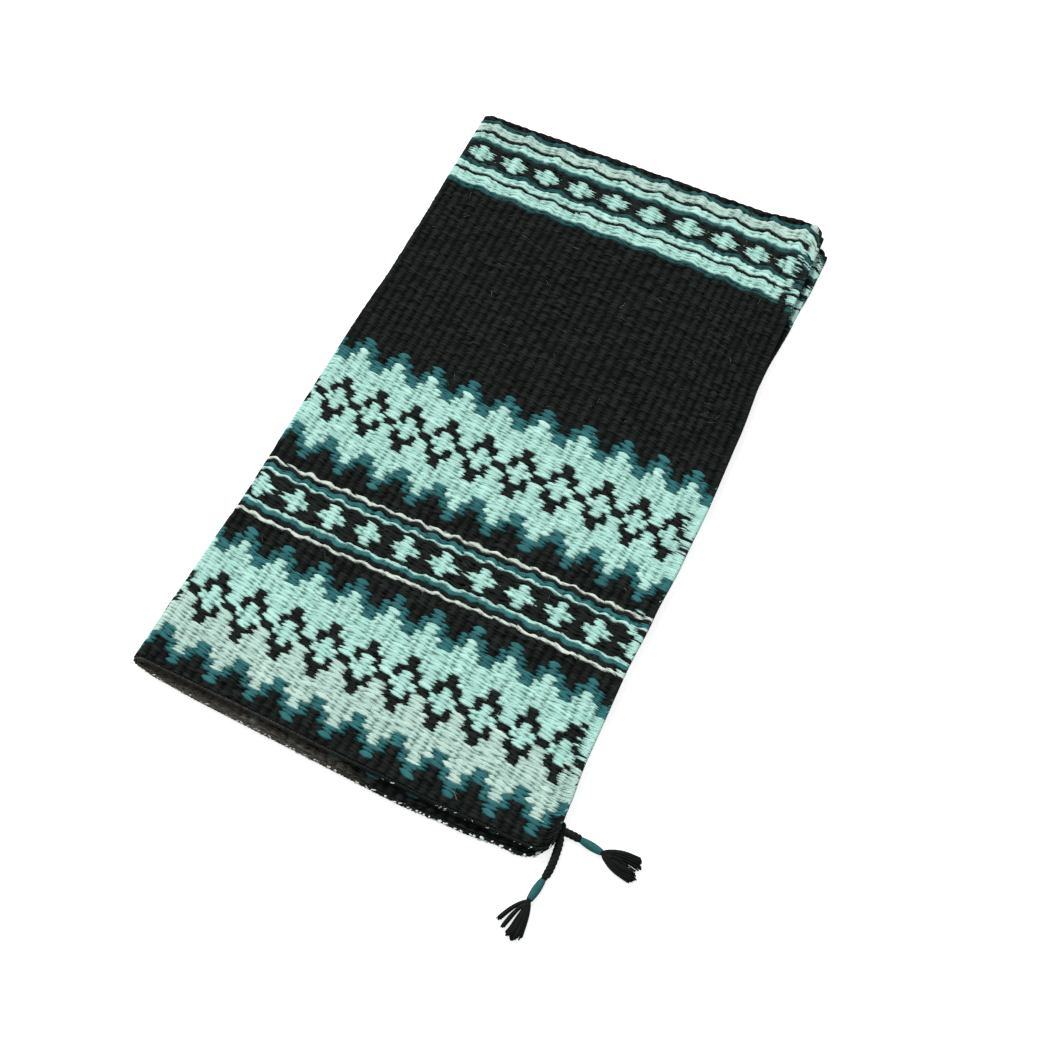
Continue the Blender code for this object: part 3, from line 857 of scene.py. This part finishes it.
class Yarns:
    """Closed tubes of yarn, gathered into one mesh."""

    def __init__(self):
        self.points, self.cloth, self.look = [], [], []
        self.quads, self.cells, self.caps = [], [], []
        self.count = 0

    def add(self, route, radius, look, sides=YARN_SIDES, start=0.0):
        """One tube. The radius and the look may change along it, and start sets its fibres apart."""
        route = np.asarray(route, float)
        rings = len(route)
        radius = np.broadcast_to(radius, (rings,))[:, None, None]
        first, second = (side[:, None, :] for side in frames(route))
        turn = (math.tau * np.arange(sides) / sides)[None, :, None]
        points = route[:, None, :] + radius * (np.cos(turn) * first + np.sin(turn) * second)
        around = np.arange(sides)[None, :] * FIBRE_GAP + start
        cloth = np.stack(np.broadcast_arrays(lengths(route)[:, None] + start, around, 0.0), -1)
        index = self.count + np.arange(rings * sides).reshape(rings, sides)
        ahead = np.roll(index, -1, axis=1)
        quads = np.stack([index[:-1], ahead[:-1], ahead[1:], index[1:]], -1)
        self.points.append(points.reshape(-1, 3))
        self.cloth.append(cloth.reshape(-1, 3))
        look = np.broadcast_to(np.asarray(look, float), (rings, 6))
        self.look.append(np.repeat(look, sides, axis=0))
        self.quads.append(quads.reshape(-1, 4))
        for low in range(0, rings - 1, BAKE_RINGS):
            self.cells.append((min(BAKE_RINGS, rings - 1 - low), sides))
        self.caps += [index[0, ::-1], index[-1]]
        self.count += rings * sides

    def mesh(self, name):
        """The mesh of all the tubes, each stretch of a tube with a cell of its own in the baking layout."""
        grid = math.ceil(math.sqrt(len(self.cells) + 1))
        places = []
        for cell, (rings, sides) in enumerate(self.cells):
            corner = np.array((cell % grid, cell // grid)) / grid
            box = np.stack(grid_of(np.arange(rings) / rings, np.arange(sides) / sides), -1)
            offsets = ((0, 0), (0, 1 / sides), (1 / rings, 1 / sides), (1 / rings, 0))
            quads = np.stack([box + offset for offset in offsets], -2)
            places.append(corner + CELL_MARGIN / grid + quads.reshape(-1, 4, 2) * CELL_SPAN / grid)
        groups = [(np.concatenate(self.quads), np.concatenate(places))]
        for sides in sorted({len(cap) for cap in self.caps}):
            caps = np.array([cap for cap in self.caps if len(cap) == sides])
            turn = math.tau * np.arange(sides) / sides
            circle = np.stack([np.cos(turn), np.sin(turn)], -1)
            round_place = 1 - 0.5 / grid + CAP_RADIUS / grid * circle
            groups.append((caps, np.broadcast_to(round_place, (len(caps), sides, 2))))
        return mesh_from(name, np.concatenate(self.points), groups, np.concatenate(self.cloth),
                         np.concatenate(self.look))

    def piece(self, name, material, node, body=None):
        """The tubes as a piece in place of a solid."""
        return add_piece(name, self.mesh(name), material, node, body)


def ply_yarns(yarns, route, diameter, plies, pitch, look, sides=YARN_SIDES, start=0.0):
    """Winds plies of yarn about a route, to a diameter that may change along it."""
    first, second = frames(route)
    diameter = np.broadcast_to(diameter, (len(route),))
    out = ((0.5 - PLY_RADIUS) * diameter)[:, None]
    for ply in range(plies):
        turn = math.tau * (ply / plies + lengths(route) / pitch)[:, None] + start
        path = route + out * (np.cos(turn) * first + np.sin(turn) * second)
        tint = look[ply] if isinstance(look, list) else look
        yarns.add(path, PLY_RADIUS * diameter, tint, sides, start + 0.05 * ply)


# A ply's radius as a share of its cord's diameter
PLY_RADIUS = 0.29
# Cords, knot and tufts take one even level of painted light, a little below that of the cloth's crests.
CORD_PAINTED_LIGHT = 0.8
BLACK_YARN = (0.0, 0.0, 0.0, 0.5, 0.0, CORD_PAINTED_LIGHT)
EDGE_PITCH = 0.0075
SELVEDGE_PITCH = 0.0065
LOOP_RADIUS = 0.00050
LOOPS_PER_RIB = 2
LOOP_SPREAD = 0.0016
LOOP_TURNS = (math.radians(20), math.radians(55))
LOOP_LEAN = (1.2, 3.2)
LOOP_MIDDLES = (0.3, 1.1)
LOOP_SIZES = (0.7, 1.5)
LOOP_SHAPE = np.array((0.5, 0.8, 1, 1, 1, 1, 0.8, 0.5))
FUZZ_FIBRES = 1300
FUZZ_SHARES = (-0.02, 0.62)
FUZZ_ALONG = (-0.004, 0.007)
FUZZ_HEIGHT = (-0.0005, 0.0012)
FUZZ_LENGTH = (0.003, 0.009)
FUZZ_RADIUS = 0.00013
FUZZ_SPREAD = 0.7
FUZZ_SIZES = (0.6, 1.5)
FIBRE_SHAPE = np.array((0.4, 0.9, 1.0, 0.9, 0.4))
HAIRS = 260
HAIR_LENGTH = (0.004, 0.014)
HAIR_RADIUS = 0.00010
HAIR_MARGIN = 0.02
HAIR_SPREAD = 6.0
HAIR_SIZES = (0.6, 1.4)


def edge_route(leaf, low):
    """The centreline of the cord along a ply's near end, rounding the corner to the selvedge."""
    outset = EDGE_SEAT + EDGE_CORD / 2
    start = -ply_outset(CLOTH_END) / WIDTH
    corner = leaf["corner"] / WIDTH
    turn = np.linspace(0, math.pi / 2, ARC_STEPS)
    share = np.append(np.linspace(start, 1 - corner, 2 * RIBS)[:-1], 1 - corner * (1 - np.sin(turn)))
    x, y = plan(leaf, share, CLOTH_END + 0 * share, RIBS * share)
    forward = unit(np.gradient(np.stack([x, y], 1), axis=0))
    z = 0 * x + low + PLY_THICKNESS / 2
    return np.stack([x + outset * forward[:, 1], y - outset * forward[:, 0], z], 1)


def dusty(route, leaf, rng):
    """The look of black cord that turns dusty brown along the left part of the near end."""
    look = np.zeros((len(route), 6))
    # One even level of painted light along the cord.
    look[:, 5] = CORD_PAINTED_LIGHT
    look[:, 3] = rng.uniform(0.2, 0.8, len(route))
    dust = leaf["dust"] * eased(DUSTY_PLACES, (route[:, 0] - SPINE_X) / WIDTH)
    look[:, 4] = dust * rng.uniform(0.2, 1.0, len(route))
    return look


def add_end_cord(name, leaf, low, material, rng):
    """The twisted cord that edges a ply's near end, with the warps that loop round it."""
    route = evenly(edge_route(leaf, low))
    yarns = Yarns()
    ply_yarns(yarns, route, EDGE_CORD, 2, EDGE_PITCH, dusty(route, leaf, rng), start=rng.uniform(0, 6))
    loops = int(RIBS * LOOPS_PER_RIB * lengths(route)[-1] / WIDTH)
    for loop in range(loops):
        pair = loop // 2 * 2 + 1 + (1 if loop % 2 else -1) * LOOP_SPREAD / RIB_PITCH
        share = np.clip((pair + rng.uniform(-0.7, 0.7)) / loops, 0.004, 0.985)
        if rng.uniform() < eased(leaf["loops"], share):
            size = LOOP_RADIUS * eased(leaf["loop_sizes"], share)
            add_loop(yarns, route, int(share * (len(route) - 1)), size, rng)
    if name == "lower_inner_end_cord":
        add_fuzz(yarns, rng)
    if name == "upper_outer_end_cord":
        add_hairs(yarns, rng)
    return yarns.piece(name, material, name, leaf["body"])


def add_fuzz(yarns, rng):
    """The dusty fibres matted along the left part of the lower leaf's near end."""
    places = rng.uniform(*FUZZ_SHARES, FUZZ_FIBRES)
    places = places[rng.uniform(0, 1, FUZZ_FIBRES) < eased(DUSTY_PLACES, places)]
    x, y = plan(LOWER, places, CLOTH_END + 0 * places, RIBS * places)
    for at_x, at_y in zip(x, y):
        at_y += rng.uniform(*FUZZ_ALONG)
        at = np.array((at_x, at_y, LEAF_THICKNESS + rng.uniform(*FUZZ_HEIGHT)))
        size = FUZZ_RADIUS * rng.uniform(*FUZZ_SIZES)
        length = rng.uniform(*FUZZ_LENGTH)
        # The fibres take the painted light of the cloth's crests.
        add_fibre(yarns, at, length, size, (0, 0, 0, rng.uniform(0, 1), 1, 1), FUZZ_SPREAD, rng)


def add_hairs(yarns, rng):
    """Stray hairs on the upper leaf, some of them pale."""
    for _ in range(HAIRS):
        x = rng.uniform(SPINE_X, RIGHT_X - HAIR_MARGIN)
        at = np.array((x, rng.uniform(SPINE_NEAR_Y, FOLD_Y), STACK))
        # The hairs take the painted light of the cloth's crests.
        look = (0, 0, rng.uniform(0.1, 0.9), rng.uniform(0, 1), 0, 1)
        length = rng.uniform(*HAIR_LENGTH)
        add_fibre(yarns, at, length, HAIR_RADIUS * rng.uniform(*HAIR_SIZES), look, HAIR_SPREAD, rng)


def add_fibre(yarns, middle, length, radius, look, spread, rng):
    """One fine curved fibre that lies over the cloth, mostly across it where its spread is small."""
    count = len(FIBRE_SHAPE)
    turn = rng.uniform(-0.5, 0.5) * spread + rng.uniform(-0.5, 0.5) * np.linspace(-1, 1, count)
    steps = np.stack([np.cos(turn), np.sin(turn), 0.10 * rng.normal(size=count)], 1) * length / count
    path = middle + np.cumsum(steps, axis=0) - steps.sum(axis=0) / 2
    path[:, 2] = np.maximum(path[:, 2], middle[2])
    yarns.add(path, radius * FIBRE_SHAPE, look, 3)


def add_loop(yarns, route, place, size, rng):
    """One cream warp that comes out of the cloth and goes round the end cord."""
    forward = unit(route[min(place + 1, len(route) - 1)] - route[place - 1])
    inward = np.cross(UP, forward)
    out = EDGE_CORD / 2 + size * rng.uniform(0.1, 0.8)
    middle = rng.uniform(*LOOP_MIDDLES)
    turn = middle + np.linspace(-0.5, 0.5, len(LOOP_SHAPE))[:, None] * rng.uniform(*LOOP_TURNS)
    lean = rng.choice((-1, 1, 1, 1)) * rng.uniform(*LOOP_LEAN)
    ring = np.sin(turn) * UP - np.cos(turn) * inward
    path = route[place] + out * ring + lean * out * (turn - middle) * forward
    radius = size * rng.uniform(*LOOP_SIZES) * LOOP_SHAPE
    # The warps take more painted light than the cloth's crests: a painted highlight that makes them read
    # lighter.
    yarns.add(path, radius, (0, 0, 1, rng.uniform(0.6, 1.0), 0, 1.2), 5)


def add_cord_bend(name, inner_radius, material, rng):
    """The part of an end cord that goes round the spine with its fold."""
    turn = np.linspace(0, math.pi, ARC_STEPS)
    radius = inner_radius + PLY_THICKNESS / 2
    y = spine_y(CLOTH_END + 0 * turn, turn) - EDGE_SEAT - EDGE_CORD / 2
    x = spine_x(CLOTH_END) - (radius + fold_bulge(CLOTH_END)) * np.sin(turn)
    route = evenly(np.stack([x, y, HINGE_Z + radius * np.cos(turn)], 1))
    yarns = Yarns()
    ply_yarns(yarns, route, EDGE_CORD, 2, EDGE_PITCH, dusty(route, LOWER, rng))
    blend_at_spine(yarns.piece(name, material, name))


def selvedge_line(leaf):
    """A leaf's side edge from its near corner to its end fold, with the distances along the cloth."""
    distance = np.linspace(CLOTH_END, FLAT_START, 4 * RIBS)
    x, y = plan(leaf, 1.0 + 0 * distance, distance, RIBS + 0 * distance)
    return distance, x + EDGE_SEAT + EDGE_CORD / 2, y


def add_selvedge_cord(name, leaf, material, rng):
    """A side cord in the colours of the wefts round it, out along one ply and back along the other."""
    distance, x, y = selvedge_line(leaf)
    middle = leaf["base"] + LEAF_THICKNESS / 2
    reach = SECOND_PLY / 2
    turn = np.linspace(0, math.pi, ARC_STEPS)[1:-1]
    bend = np.stack([x[-1] + 0 * turn, y[-1] + reach * np.sin(turn), middle + reach * np.cos(turn)], 1)
    out = np.stack([x, y, 0 * x + middle + reach], 1)
    home = np.stack([x, y, 0 * x + middle - reach], 1)[::-1]
    route = evenly(np.vstack([out, bend, home]))
    places = np.interp(route[:, 1], y, distance)
    looks = []
    for rib in (RIBS, RIBS + 1) if leaf is UPPER else (FIRST_RIB + 3, FIRST_RIB + 4):
        rows = ROWS[rib]
        index = np.clip(np.searchsorted(rows["edges"], places) - 1, 0, len(rows["yarns"]) - 1)
        looks.append(look_of(rows["yarns"][index], rng.uniform(0.1, 0.9, len(index))))
    yarns = Yarns()
    ply_yarns(yarns, route, EDGE_CORD, 2, SELVEDGE_PITCH, looks)
    return yarns.piece(name, material, name, leaf["body"])


# The tassels at the near corner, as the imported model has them, but for their looseness and the knot's lean
TASSEL_SEAT = 0.0003
KNOT_RADIUS = 0.005
KNOT_LENGTH = 1.7
KNOT_HEIGHT = 0.0076
KNOT_YARN = 0.0017
KNOT_LEAN = np.array((-0.0060, -0.0020, 0.0))
KNOT_TURNS = ((15, 0), (-20, 50), (70, 20), (60, 100), (85, 160), (40, 140))
TASSEL_CORD = 0.0068
CORD_PITCH = 0.013
CORD_CORE = 0.0046
CORD_NARROWS = 0.86
CORD_TAIL = 0.010
LOOSE = 1.2
FLOOR_CLEARANCE = 0.0002
LONG_TASSEL_ROUTE = ((-0.0018, -0.0116), (0.0004, -0.0266), (0.0008, -0.0408), (-0.0008, -0.0506))
SHORT_TASSEL_ROUTE = ((0.0095, -0.0022), (0.0150, -0.0029))
WHIPPING = 0.022
WHIPPING_END = 0.0066
WHIPPING_BELLY = 0.0086
WINDING = 0.0010
WINDING_RADIUS = 0.62 * WINDING
WINDING_CORE = 0.8
WINDING_STEPS = TUFT_STEPS = 16
TUFT_LENGTH = 0.037
TUFT_HEAD_LENGTH = 0.006
STRAND_ROOT = 0.0030
STRAND_TIP = 0.0034
# Each strand's angle from the whipping, its share of the tuft's length, its height and its thickness
LONG_TUFT_SHARES = ((-29, 0.84, 0.0, 0.95), (-13, 0.88, 0.0, 0.90), (1, 0.95, 0.0, 1.3), (6, 0.92, 0.8, 1.3),
                    (10, 1.00, 0.0, 1.4), (15, 0.95, 0.8, 1.3), (20, 0.92, 0.0, 1.3))
SHORT_TUFT_SHARES = ((21, 0.97, 0.0, 1.7), (16, 0.93, 0.8, 1.9), (11, 0.98, 0.0, 1.7), (2, 0.66, 0.0, 1.5),
                     (-5, 0.90, 0.8, 1.7), (-9, 1.00, 0.0, 1.8), (-14, 0.95, 0.0, 1.6))
YARNS_PER_STRAND = 14
YARN_TURN = 2.4
TUFT_YARN = 0.00062
TUFT_YARN_SIZES = (0.85, 1.15)
TUFT_SWELL = 0.0010
TUFT_BELLY = {"long_tassel": 0.0008, "short_tassel": 0.0020}
TUFT_FLATNESS = 0.7
TUFT_FAN = 0.00006
TUFT_FAN_MIDDLE = 4
TUFT_FAN_MOST = 0.0032
TUFT_WAVE = 0.0003
TUFT_NECK = 0.3
TUFT_BLUNTNESS = 0.10
TUFT_RAGGEDNESS = 0.05


def knot_centre():
    """The middle of the corner knot."""
    return np.array(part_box("corner_knot")).mean(axis=0)


def turned(vector, angle):
    """A level direction turned by an angle in degrees."""
    return np.array(Matrix.Rotation(math.radians(angle), 3, "Z") @ Vector(vector))


def add_knot(material, rng):
    """The knot that gathers the edge cords: turns of cord drawn tight over one another."""
    yarns = Yarns()
    half = np.array((KNOT_RADIUS, KNOT_RADIUS * KNOT_LENGTH, KNOT_HEIGHT / 2)) - KNOT_YARN
    turn = np.linspace(0, math.tau, 25)[:, None]
    for tilt, spin in KNOT_TURNS:
        lean = Matrix.Rotation(math.radians(spin), 3, "Z") @ Matrix.Rotation(math.radians(tilt), 3, "X")
        ring = np.hstack([np.cos(turn), np.sin(turn), 0 * turn]) @ np.array(lean.transposed())
        size = KNOT_YARN * rng.uniform(0.9, 1.1)
        yarns.add(knot_centre() + KNOT_LEAN + ring * half, size, BLACK_YARN, 8, rng.uniform(0, 1))
    return yarns.piece("corner_knot_turns", material, "corner_knot", "lower_leaf")


def tassel_line(route):
    """A tassel's cord route, and the places and direction of its whipping and tuft."""
    level = knot_centre()
    level[2] = FLOOR_CLEARANCE + LOOSE * TASSEL_CORD / 2
    points = [level + KNOT_LEAN] + [level + np.array((x, y, 0.0)) for x, y in route]
    direction = unit(points[-1] - points[-2])
    sleeve = points[-1] + direction * TASSEL_SEAT
    sleeve[2] = FLOOR_CLEARANCE + WHIPPING_BELLY / 2
    tuft = sleeve + direction * (WHIPPING + TASSEL_SEAT)
    return points, direction, sleeve, tuft


def add_tassel_cord(name, points, direction, material):
    """The plied cord, which runs on inside the whipping and ends in the tuft's head."""
    neck = len(evenly(smoothed(points)))
    end = points[-1] + direction * (WHIPPING + CORD_TAIL)
    route = evenly(np.vstack([smoothed(points), end]))
    narrow = ramp(np.arange(len(route)) / neck, CORD_NARROWS, 1)
    diameter = TASSEL_CORD + (CORD_CORE - TASSEL_CORD) * narrow
    yarns = Yarns()
    ply_yarns(yarns, route, LOOSE * diameter, 3, CORD_PITCH, BLACK_YARN, 10)
    return yarns.piece(name + "_cord_plies", material, name + "_cord", name), route


def whipping_radius(share):
    """The whipping's radius at a share of its length."""
    return (WHIPPING_END + (WHIPPING_BELLY - WHIPPING_END) * np.sin(math.pi * share)) / 2


def add_windings(name, start, direction, material):
    """The yarn wound round the tassel's neck, over a plain core."""
    side = np.cross(UP, direction)
    turns = WHIPPING / WINDING
    share = np.linspace(0, 1, int(turns * WINDING_STEPS))[:, None]
    turn = math.tau * turns * share
    radius = whipping_radius(share) - WINDING_RADIUS
    centre = start + direction * (WINDING_RADIUS + (WHIPPING - 2 * WINDING_RADIUS) * share)
    yarns = Yarns()
    yarns.add(centre + radius * (np.cos(turn) * side + np.sin(turn) * UP), WINDING_RADIUS, BLACK_YARN, 5)
    core = np.linspace(0.02, 0.98, 12)
    core_size = whipping_radius(core) - WINDING * WINDING_CORE
    yarns.add(start + direction * (WHIPPING * core[:, None]), core_size, BLACK_YARN, 16)
    return yarns.piece(name + "_windings", material, name + "_whipping", name)


def add_tuft(name, start, direction, shares, material, rng):
    """The tuft: bundles of soft yarn ends that spread from the whipping and end bluntly."""
    root = direction * (TUFT_HEAD_LENGTH / 2)
    neck = TUFT_NECK * root
    yarns = Yarns()
    floor = FLOOR_CLEARANCE + STRAND_TIP / 2 + TUFT_SWELL
    place = np.linspace(0, 1, TUFT_STEPS)[:, None]
    spread = (STRAND_ROOT + (STRAND_TIP - STRAND_ROOT) * place) / 2 + TUFT_SWELL * np.sqrt(place)
    for angle, length_share, rise_share, size in shares:
        aim = turned(direction, angle)
        end = start + root + aim * TUFT_LENGTH * length_share
        end[2] = floor + STRAND_TIP * rise_share
        side = np.cross(UP, aim)
        fan = np.clip(TUFT_FAN * (angle - TUFT_FAN_MIDDLE), -TUFT_FAN_MOST, TUFT_FAN_MOST)
        belly = np.sign(angle) * TUFT_BELLY[name] * np.sin(math.pi * place)
        lean = 2 * fan * place**0.4 * (1 - place) + belly
        for yarn in range(YARNS_PER_STRAND):
            turn = YARN_TURN * yarn
            out = math.sqrt((yarn + 0.5) / YARNS_PER_STRAND)
            across_strand = math.cos(turn) * side + TUFT_FLATNESS * math.sin(turn) * UP
            wave = TUFT_WAVE * np.sin(place * rng.uniform(3, 8) + rng.uniform(0, 6)) * place
            reach = 1 - TUFT_BLUNTNESS * out**2 + rng.uniform(-TUFT_RAGGEDNESS, 0.0)
            path = start + neck + (end - start - neck) * place * reach
            path = path + out * (size * spread - TUFT_YARN) * across_strand + (wave + lean) * side
            size_here = TUFT_YARN * rng.uniform(*TUFT_YARN_SIZES)
            look = (0, 0, 0, rng.uniform(0, 1), 0, CORD_PAINTED_LIGHT)
            yarns.add(path, size_here, look, 6, rng.uniform(0, 1))
    return yarns.piece(name + "_ends", material, name + "_tuft", name)


def add_tassel(name, route, shares, black, teal, rng):
    """A tassel: its plied cord, its whipping and its tuft."""
    points, direction, sleeve, tuft = tassel_line(route)
    cord, path = add_tassel_cord(name, points, direction, black)
    windings = add_windings(name, sleeve, direction, teal)
    ends = add_tuft(name, tuft, direction, shares, black, rng)


class Shading:
    """A material's nodes. An input takes a number, a vector or another node's output."""

    def __init__(self, name):
        self.material = bpy.data.materials.new(name)
        self.material.use_nodes = True
        self.tree = self.material.node_tree
        self.shader = self.tree.nodes["Principled BSDF"]

    def feed(self, node, inputs):
        """Sets or links a node's inputs."""
        for name, value in inputs.items():
            if isinstance(value, bpy.types.NodeSocket):
                self.tree.links.new(value, node.inputs[name])
            else:
                node.inputs[name].default_value = value

    def add(self, kind, inputs, **settings):
        """The outputs of a new node."""
        node = self.tree.nodes.new("ShaderNode" + kind)
        for name, value in settings.items():
            setattr(node, name, value)
        self.feed(node, inputs)
        return node.outputs

    def maths(self, operation, first, second):
        """A sum or product."""
        return self.add("Math", {0: first, 1: second}, operation=operation)["Value"]

    def mixed(self, factor, first, second):
        """The mix of two colours."""
        return self.add("Mix", {"Factor": factor, "A": first, "B": second}, data_type="RGBA")["Result"]

    def varied(self, colour, spread, tone):
        """A colour made darker and lighter by a tone."""
        dark = tuple(c * (1 - spread) for c in colour)
        light = tuple(min(1.0, c * (1 + spread)) for c in colour)
        return self.mixed(tone, (*dark, 1), (*light, 1))


# How light the wool is: what its height adds as painted shade in the creases and painted highlight on the
# crests, and what its shade, its mottling and its fibres add, to the start
TONE_WEIGHTS = (0.60, 0.18, 0.28, 0.06)
TONE_START = -0.05

# Each wool's colour and how far its tones, painted shade and highlight among them, spread about it
BLACK_WOOL = ((0.0104, 0.0128, 0.0118), 1.0)
TEAL_WOOL = ((0.030, 0.128, 0.134), 0.75)
AQUA_WOOL = ((0.392, 0.676, 0.598), 0.50)
CREAM_WOOL = ((0.605, 0.690, 0.620), 0.42)
DUSTY_WOOL = ((0.125, 0.115, 0.098), 0.8)

FIBRE_STRETCH = (0.22, 1.0, 1.0)
FIBRE_SCALE = 2600
FIBRE_HEIGHT = 0.0003
MOTTLE_SCALE = 190
MOTTLE_RANGE = (0.3, 0.7)
ROUGHNESS = (0.78, 0.98)
SHEEN = 0.02
GLOSS = 0.04


def wool(name, base, tints):
    """Wool yarn: a base colour and the tints that the yarn attribute picks, mottled, fibrous, here and
    there dusty, with painted shade in the creases and painted highlight on the crests."""
    nodes = Shading(name + LOOK)
    place = nodes.add("Attribute", {}, attribute_name="cloth")["Vector"]
    yarn = nodes.add("Attribute", {}, attribute_name="yarn")
    split = nodes.add("SeparateColor", {"Color": yarn["Color"]})
    dust_and_painted_light = nodes.add("Attribute", {}, attribute_name="dust_and_painted_light")["Vector"]
    dust_and_painted_light = nodes.add("SeparateXYZ", {"Vector": dust_and_painted_light})
    stretch = nodes.add("Mapping", {"Vector": place, "Scale": FIBRE_STRETCH})["Vector"]
    fibre = nodes.add("TexNoise", {"Vector": stretch, "Scale": FIBRE_SCALE, "Detail": 4})["Fac"]
    mottle = {"Vector": place, "Scale": MOTTLE_SCALE, "Detail": 4, "Roughness": 0.65}
    mottle = nodes.add("TexNoise", mottle)["Fac"]
    least, most = MOTTLE_RANGE
    patches = nodes.add("MapRange", {"Value": mottle, "From Min": least, "From Max": most})["Result"]
    smoothest, roughest = ROUGHNESS
    rough = nodes.add("MapRange", {"Value": mottle, "To Min": smoothest, "To Max": roughest})["Result"]
    # Painted shade and highlight: the height channel darkens the creases and lightens the crests.
    tone = TONE_START
    for source, weight in zip((dust_and_painted_light["Y"], yarn["Alpha"], patches, fibre), TONE_WEIGHTS):
        tone = nodes.maths("ADD", tone, nodes.maths("MULTIPLY", source, weight))
    colour = nodes.varied(*base, tone)
    for channel, tint in zip(("Red", "Green", "Blue"), tints):
        colour = nodes.mixed(split[channel], colour, nodes.varied(*tint, tone))
    nodes.feed(nodes.shader, {
        "Base Color": nodes.mixed(dust_and_painted_light["X"], colour, nodes.varied(*DUSTY_WOOL, tone)),
        "Roughness": rough,
        "Normal": nodes.add("Bump", {"Height": fibre, "Strength": 0.5, "Distance": FIBRE_HEIGHT})["Normal"],
        "Specular IOR Level": GLOSS, "Sheen Weight": SHEEN, "Sheen Roughness": 0.5,
    })
    return nodes.material


def add_camera():
    """The camera at the photograph's viewing angle."""
    data = bpy.data.cameras.new("camera")
    data.lens = CAMERA_LENS
    camera = placed("camera", data)
    camera.matrix_world = Matrix.Translation(CAMERA_PLACE) @ Matrix(CAMERA_AXES).to_4x4()
    bpy.context.scene.camera = camera


FLOOR_REACH = 6.0
FLOOR_GLOW = 0.72


def add_floor():
    """A plain pale floor that looks white to the camera but keeps the shadow."""
    mesh = bpy.data.meshes.new("floor")
    corners = [(FLOOR_REACH * x, FLOOR_REACH * y, 0) for x, y in ((-1, -1), (1, -1), (1, 1), (-1, 1))]
    mesh.from_pydata(corners, [], [(0, 1, 2, 3)])
    floor = placed("floor", mesh)
    pale = Shading("floor")
    seen = pale.add("LightPath", {})["Is Camera Ray"]
    pale.feed(pale.shader, {
        "Base Color": (0.8, 0.8, 0.8, 1), "Roughness": 1, "Specular IOR Level": 0,
        "Emission Color": (1, 1, 1, 1), "Emission Strength": pale.maths("MULTIPLY", seen, FLOOR_GLOW),
    })
    mesh.materials.append(pale.material)


SURROUND_LIGHT = 0.45
LAMP_STRENGTH = 2.3
LAMP_SPREAD = math.radians(22)
LAMP_AIM = (0.62, -0.62, -0.95)


def add_light():
    """Soft studio light: a pale surround and one broad lamp above the far end."""
    world = bpy.data.worlds.new("studio")
    world.use_nodes = True
    background = world.node_tree.nodes["Background"]
    background.inputs["Color"].default_value = (1, 1, 1, 1)
    background.inputs["Strength"].default_value = SURROUND_LIGHT
    bpy.context.scene.world = world
    data = bpy.data.lights.new("key", "SUN")
    data.energy = LAMP_STRENGTH
    data.angle = LAMP_SPREAD
    lamp = placed("key", data)
    lamp.rotation_euler = Vector(LAMP_AIM).to_track_quat("-Z", "Y").to_euler()


def build_cloth(wool):
    """The folded cloth: four plies and the folds that join them, all one sheet."""
    top = add_ply("upper_outer_cloth", UPPER, UPPER["base"] + SECOND_PLY, True, 0.0, TOP_GRID, wool)
    inside = add_ply("upper_inner_cloth", UPPER, UPPER["base"], False, 0.0, HIDDEN_GRID, wool)
    under = add_ply("lower_inner_cloth", LOWER, SECOND_PLY, True, INNER_TURN, HIDDEN_GRID, wool)
    bottom = add_ply("lower_outer_cloth", LOWER, 0.0, False, OUTER_TURN, HIDDEN_GRID, wool)
    upper_end = add_end_cloth("upper_end_cloth", UPPER, 0.0, wool)
    lower_end = add_end_cloth("lower_end_cloth", LOWER, OUTER_TURN, wool)
    face, back = OUTER_FOLD_RADIUS, OUTER_FOLD_RADIUS - PLY_THICKNESS + PLY_GAP
    outer_spine = add_spine_cloth("outer_spine_cloth", face, back, OUTER_TURN, 1, wool)
    face, back = INNER_FOLD_RADIUS + CREST, INNER_FOLD_RADIUS + PLY_THICKNESS - PLY_GAP
    inner_spine = add_spine_cloth("inner_spine_cloth", face, back, INNER_TURN, -1, wool)
    corner = add_corner_cloth("corner_cloth", wool)
    blend_at_spine(outer_spine)
    blend_at_spine(inner_spine)
    blend_at_spine(corner)


def blend_at_spine(piece):
    """Bakes a piece's placement at the spine into its mesh."""
    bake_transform(piece)


def build_edges(wool, black):
    """The cords along the cloth's ends and selvedges."""
    rng = np.random.default_rng(EDGE_SEED)
    for name, leaf, outer, inner in (("upper", UPPER, SECOND_PLY, 0), ("lower", LOWER, 0, SECOND_PLY)):
        add_end_cord(name + "_outer_end_cord", leaf, leaf["base"] + outer, black, rng)
        add_end_cord(name + "_inner_end_cord", leaf, leaf["base"] + inner, black, rng)
        add_selvedge_cord(name + "_selvedge_cord", leaf, wool, rng)
    add_cord_bend("outer_cord_bend", OUTER_FOLD_RADIUS - PLY_THICKNESS, black, rng)
    add_cord_bend("inner_cord_bend", INNER_FOLD_RADIUS, black, rng)


def build_tassels(black, teal):
    """The corner knot and the two tassels."""
    rng = np.random.default_rng(TASSEL_SEED)
    knot = add_knot(black, rng)
    add_tassel("long_tassel", LONG_TASSEL_ROUTE, LONG_TUFT_SHARES, black, teal, rng)
    add_tassel("short_tassel", SHORT_TASSEL_ROUTE, SHORT_TUFT_SHARES, black, teal, rng)


bpy.context.scene.view_settings.view_transform = "Standard"
add_camera()
add_floor()
add_light()
tints = (TEAL_WOOL, AQUA_WOOL, CREAM_WOOL)
patterned_wool = wool("patterned_wool", BLACK_WOOL, tints)
black_wool = wool("black_wool", BLACK_WOOL, tints)
teal_wool = wool("teal_wool", TEAL_WOOL, ())
build_cloth(patterned_wool)
build_edges(patterned_wool, black_wool)
build_tassels(black_wool, teal_wool)
